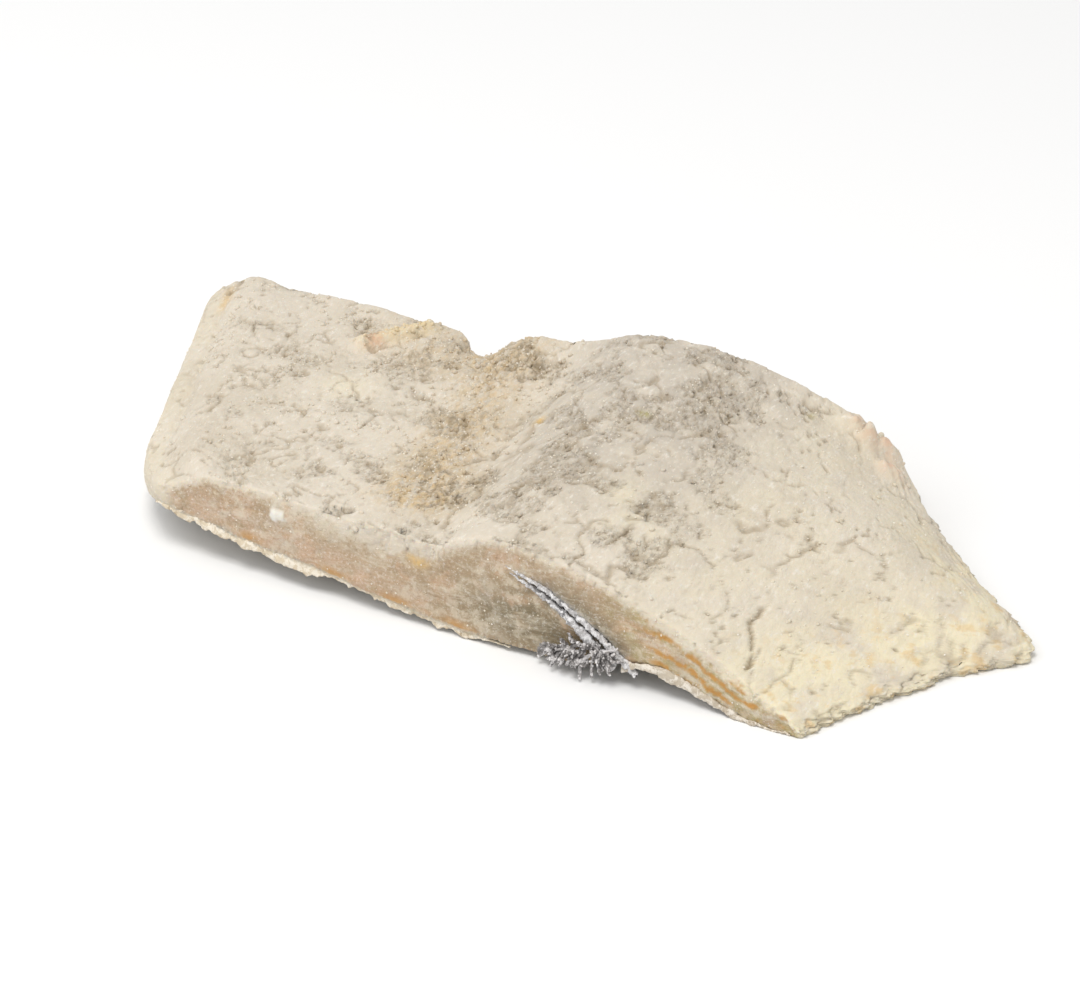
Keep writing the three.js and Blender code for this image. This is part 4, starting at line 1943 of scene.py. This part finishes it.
@dataclass
class FinTuft:
    """The stub of the dorsal fin at the fold's lower end: rows of cut rays, caked with salt."""

    rays: int = 120
    rows: int = 5
    start: tuple[float, float, float] = (112.5, -0.2, 3.8)
    end: tuple[float, float, float] = (132.5, -0.2, 6.6)
    height: float = 3.9
    length: float = 3.1
    radius: float = 0.6
    jitter: float = 0.3
    foremost: float = -4.9
    clearance: float = 0.4

    def roots(self) -> bpy.types.Mesh:
        """Points where the rays stand, with each ray's direction and length.

        Returns:
            The points, as a mesh with the attributes aim and reach.
        """
        share = np.linspace(0, 1, self.rays)
        row = (np.arange(self.rays) % self.rows) / (self.rows - 1)
        line = mix(np.array(self.start), np.array(self.end), share[:, None])
        spots = np.stack([np.arange(self.rays) * 1.9, row * 7.0, row], axis=1)
        wobble = shaken(spots, 1.3, 151, 2)
        crown = 0.25 + 0.75 * np.sin(math.pi * np.clip(share * 0.8 + 0.05, 0, 1)) ** 1.3
        line += 1.1 * wobble
        line[:, 1] = -0.3 - 0.8 * (1 - row) * crown
        line[:, 2] += self.height * row * crown
        fan = np.stack([1.5 * (share - 0.6), np.full(self.rays, -0.9), 1.5 * (row - 0.5)], axis=1)
        aim = fan + 1.5 * wobble
        aim[:, 1] = np.minimum(aim[:, 1], -0.25)
        aim /= np.linalg.norm(aim, axis=1)[:, None]
        reach = self.length * crown * np.clip(0.75 + 1.6 * wobble[:, 0], 0.15, 1.5) + 0.8
        mesh = bpy.data.meshes.new("ray_roots")
        mesh.from_pydata(line.tolist(), [], [])
        mesh.attributes.new("aim", "FLOAT_VECTOR", "POINT").data.foreach_set("vector", aim.ravel())
        mesh.attributes.new("reach", "FLOAT", "POINT").data.foreach_set("value", reach)
        return mesh

    def rough(self, piece: Piece, placing: Placing) -> None:
        """Makes the rays uneven, keeps them off the floor and carries them to their place.

        Args:
            piece: the rays, in the working frame.
            placing: carries points to the model's frame.
        """
        flat = np.empty(len(piece.data.vertices) * 3)
        piece.data.vertices.foreach_get("co", flat)
        points = flat.reshape(-1, 3)
        points = points + self.jitter * shaken(points, 0.9, 161, 3, 0.7)
        points[:, 1] = np.maximum(points[:, 1], self.foremost)
        points[:, 2] = np.maximum(points[:, 2], self.clearance)
        piece.data.vertices.foreach_set("co", placing.metres(points).ravel())
        mask = piece.data.attributes.new("salted", "FLOAT", "POINT")
        mask.data.foreach_set("value", 0.35 + 0.65 * smooth(-points[:, 1], 0.8, 3.0))
        piece.data.update()

    def build(self, placing: Placing) -> list[Piece]:
        """Builds the rays and the salt that cakes them.

        Args:
            placing: carries points to the model's frame.

        Returns:
            The rays and the salt.
        """
        t = Tree("fin_rays")
        t.declare(Base="Float", Tip="Float")
        aim = t.add("GeometryNodeInputNamedAttribute", {"Name": "aim"}, data_type="FLOAT_VECTOR")
        reach = t.add("GeometryNodeInputNamedAttribute", {"Name": "reach"})
        sizes = {"Vertices": 7, "Side Segments": 4, "Depth": 1.0}
        sizes |= {"Radius Top": t.given("Tip"), "Radius Bottom": t.given("Base")}
        cone = t.add("GeometryNodeMeshCone", sizes)
        turned = t.add("FunctionNodeAlignRotationToVector", {"Vector": aim.outputs[0]}, axis="Z")
        long = t.add("ShaderNodeCombineXYZ", {"X": 1.0, "Y": 1.0, "Z": reach.outputs[0]})
        links = {"Points": t.given("Geometry"), "Instance": cone.outputs["Mesh"]}
        links |= {"Rotation": turned.outputs[0], "Scale": long.outputs[0]}
        placed = t.add("GeometryNodeInstanceOnPoints", links)
        t.end(placed.outputs[0], Finish.FIN.value.material())
        piece = t.grow("fin_rays", self.roots(), {"Base": self.radius, "Tip": 0.5 * self.radius})
        self.rough(piece, placing)
        salt = Grains("fin_salt", "salted", FrontBack(0.3, 0.8), 0.55, 0.5, faces_level=1, seed=12)
        return [piece, salt.build(piece, Finish.FIN_SALT.value.material(), False)]


# ---- the stage ----


@dataclass(frozen=True)
class Stage:
    """A pale floor, soft lights and the camera."""

    floor_colour: Colour = (0.90, 0.90, 0.90)
    floor_size: float = 6.0
    centre: tuple[float, float, float] = (84.0, 50.0, 14.0)
    azimuth: float = 28.86
    elevation: float = 30.76
    distance: float = 1.2528
    lens: float = 162.1
    key_power: float = 10.5
    fill_power: float = 5.5
    sky: float = 0.62

    def floor(self) -> None:
        """Adds the floor."""
        half = self.floor_size / 2
        mesh = bpy.data.meshes.new("floor")
        outline = [(-half, -half, 0), (half, -half, 0), (half, half, 0), (-half, half, 0)]
        mesh.from_pydata(outline, [], [(0, 1, 2, 3)])
        plane = bpy.data.objects.new("floor", mesh)
        show(plane)
        n = Nodes("pale_floor")
        mesh.materials.append(n.finish(self.floor_colour, 0.9, None, Specular_IOR_Level=0.1))
        plane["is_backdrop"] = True

    def light(self, name: str, place: Colour, size: float, power: float, tint: Colour) -> None:
        """Adds a square soft light that faces the slab.

        Args:
            name: the lamp's name.
            place: where it stands, in metres.
            size: its side, in metres.
            power: its power, in watts.
            tint: its colour.
        """
        data = bpy.data.lights.new(name, "AREA")
        data.size = size
        data.energy = power
        data.color = tint
        lamp = bpy.data.objects.new(name, data)
        lamp.location = place
        lamp.rotation_euler = (-Vector(place)).to_track_quat("-Z", "Y").to_euler()
        show(lamp)

    def lights(self) -> None:
        """Adds the lights and the sky."""
        self.light("key", (0.1, -0.55, 1.3), 0.5, self.key_power, (1.0, 0.985, 0.96))
        self.light("fill", (-0.9, -0.7, 1.0), 1.2, self.fill_power, (0.97, 0.985, 1.0))
        world = bpy.data.worlds.new("soft_sky")
        world.use_nodes = True
        background = world.node_tree.nodes["Background"]
        background.inputs["Color"].default_value = (1.0, 1.0, 1.0, 1.0)
        background.inputs["Strength"].default_value = self.sky
        bpy.context.scene.world = world
        bpy.context.scene.view_settings.view_transform = "Standard"

    def camera(self, placing: Placing) -> None:
        """Adds the camera at the wanted angle.

        Args:
            placing: carries points to the model's frame.
        """
        aim = Vector((np.array(self.centre) + placing.shift) * MM)
        turn, rise = math.radians(self.azimuth), math.radians(self.elevation)
        away = Vector((math.sin(turn) * math.cos(rise), -math.cos(turn) * math.cos(rise), math.sin(rise)))
        data = bpy.data.cameras.new("camera")
        data.lens = self.lens
        eye = bpy.data.objects.new("camera", data)
        eye.location = aim + away * self.distance
        eye.rotation_euler = away.to_track_quat("Z", "Y").to_euler()
        show(eye)
        bpy.context.scene.camera = eye


def corners(box: tuple[Vector, Vector]) -> list[list[float]]:
    """A box's lowest and highest corner as plain lists."""
    return [[float(c) for c in corner] for corner in box]


def main() -> None:
    """Builds the slab's pieces in order."""
    logging.basicConfig(level=logging.INFO, format="%(name)s: %(message)s")
    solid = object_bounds()
    low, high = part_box(NODE)
    placing = Placing(Vector(low), Vector(high))

    body = SlabBody()
    slab = body.build(placing)
    body.dress(slab)
    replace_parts(declare(slab), NODE)

    declare(Rim().build(placing))
    for piece in FoldSkin().build(placing):
        declare(piece)
    for piece in FinTuft().build(placing):
        declare(piece)
    crust = slab.data.materials[0]
    crumbs = Grains("crust_crumbs", "crumbly", FrontBack(0.7, 1.7), 0.9, 0.20, faces_level=2, seed=4)
    declare(crumbs.build(slab, crust, True))
    grains = Grains("salt_grains", "grainy", FrontBack(0.3, 0.75), 0.5, 0.5, faces_level=1, seed=8)
    declare(grains.build(slab, Finish.SALT.value.material(), False))

    stage = Stage()
    stage.camera(placing)
    stage.floor()
    stage.lights()
    {"cad": corners(solid), "visual": corners(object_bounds())}


if __name__ == "__main__":
    main()
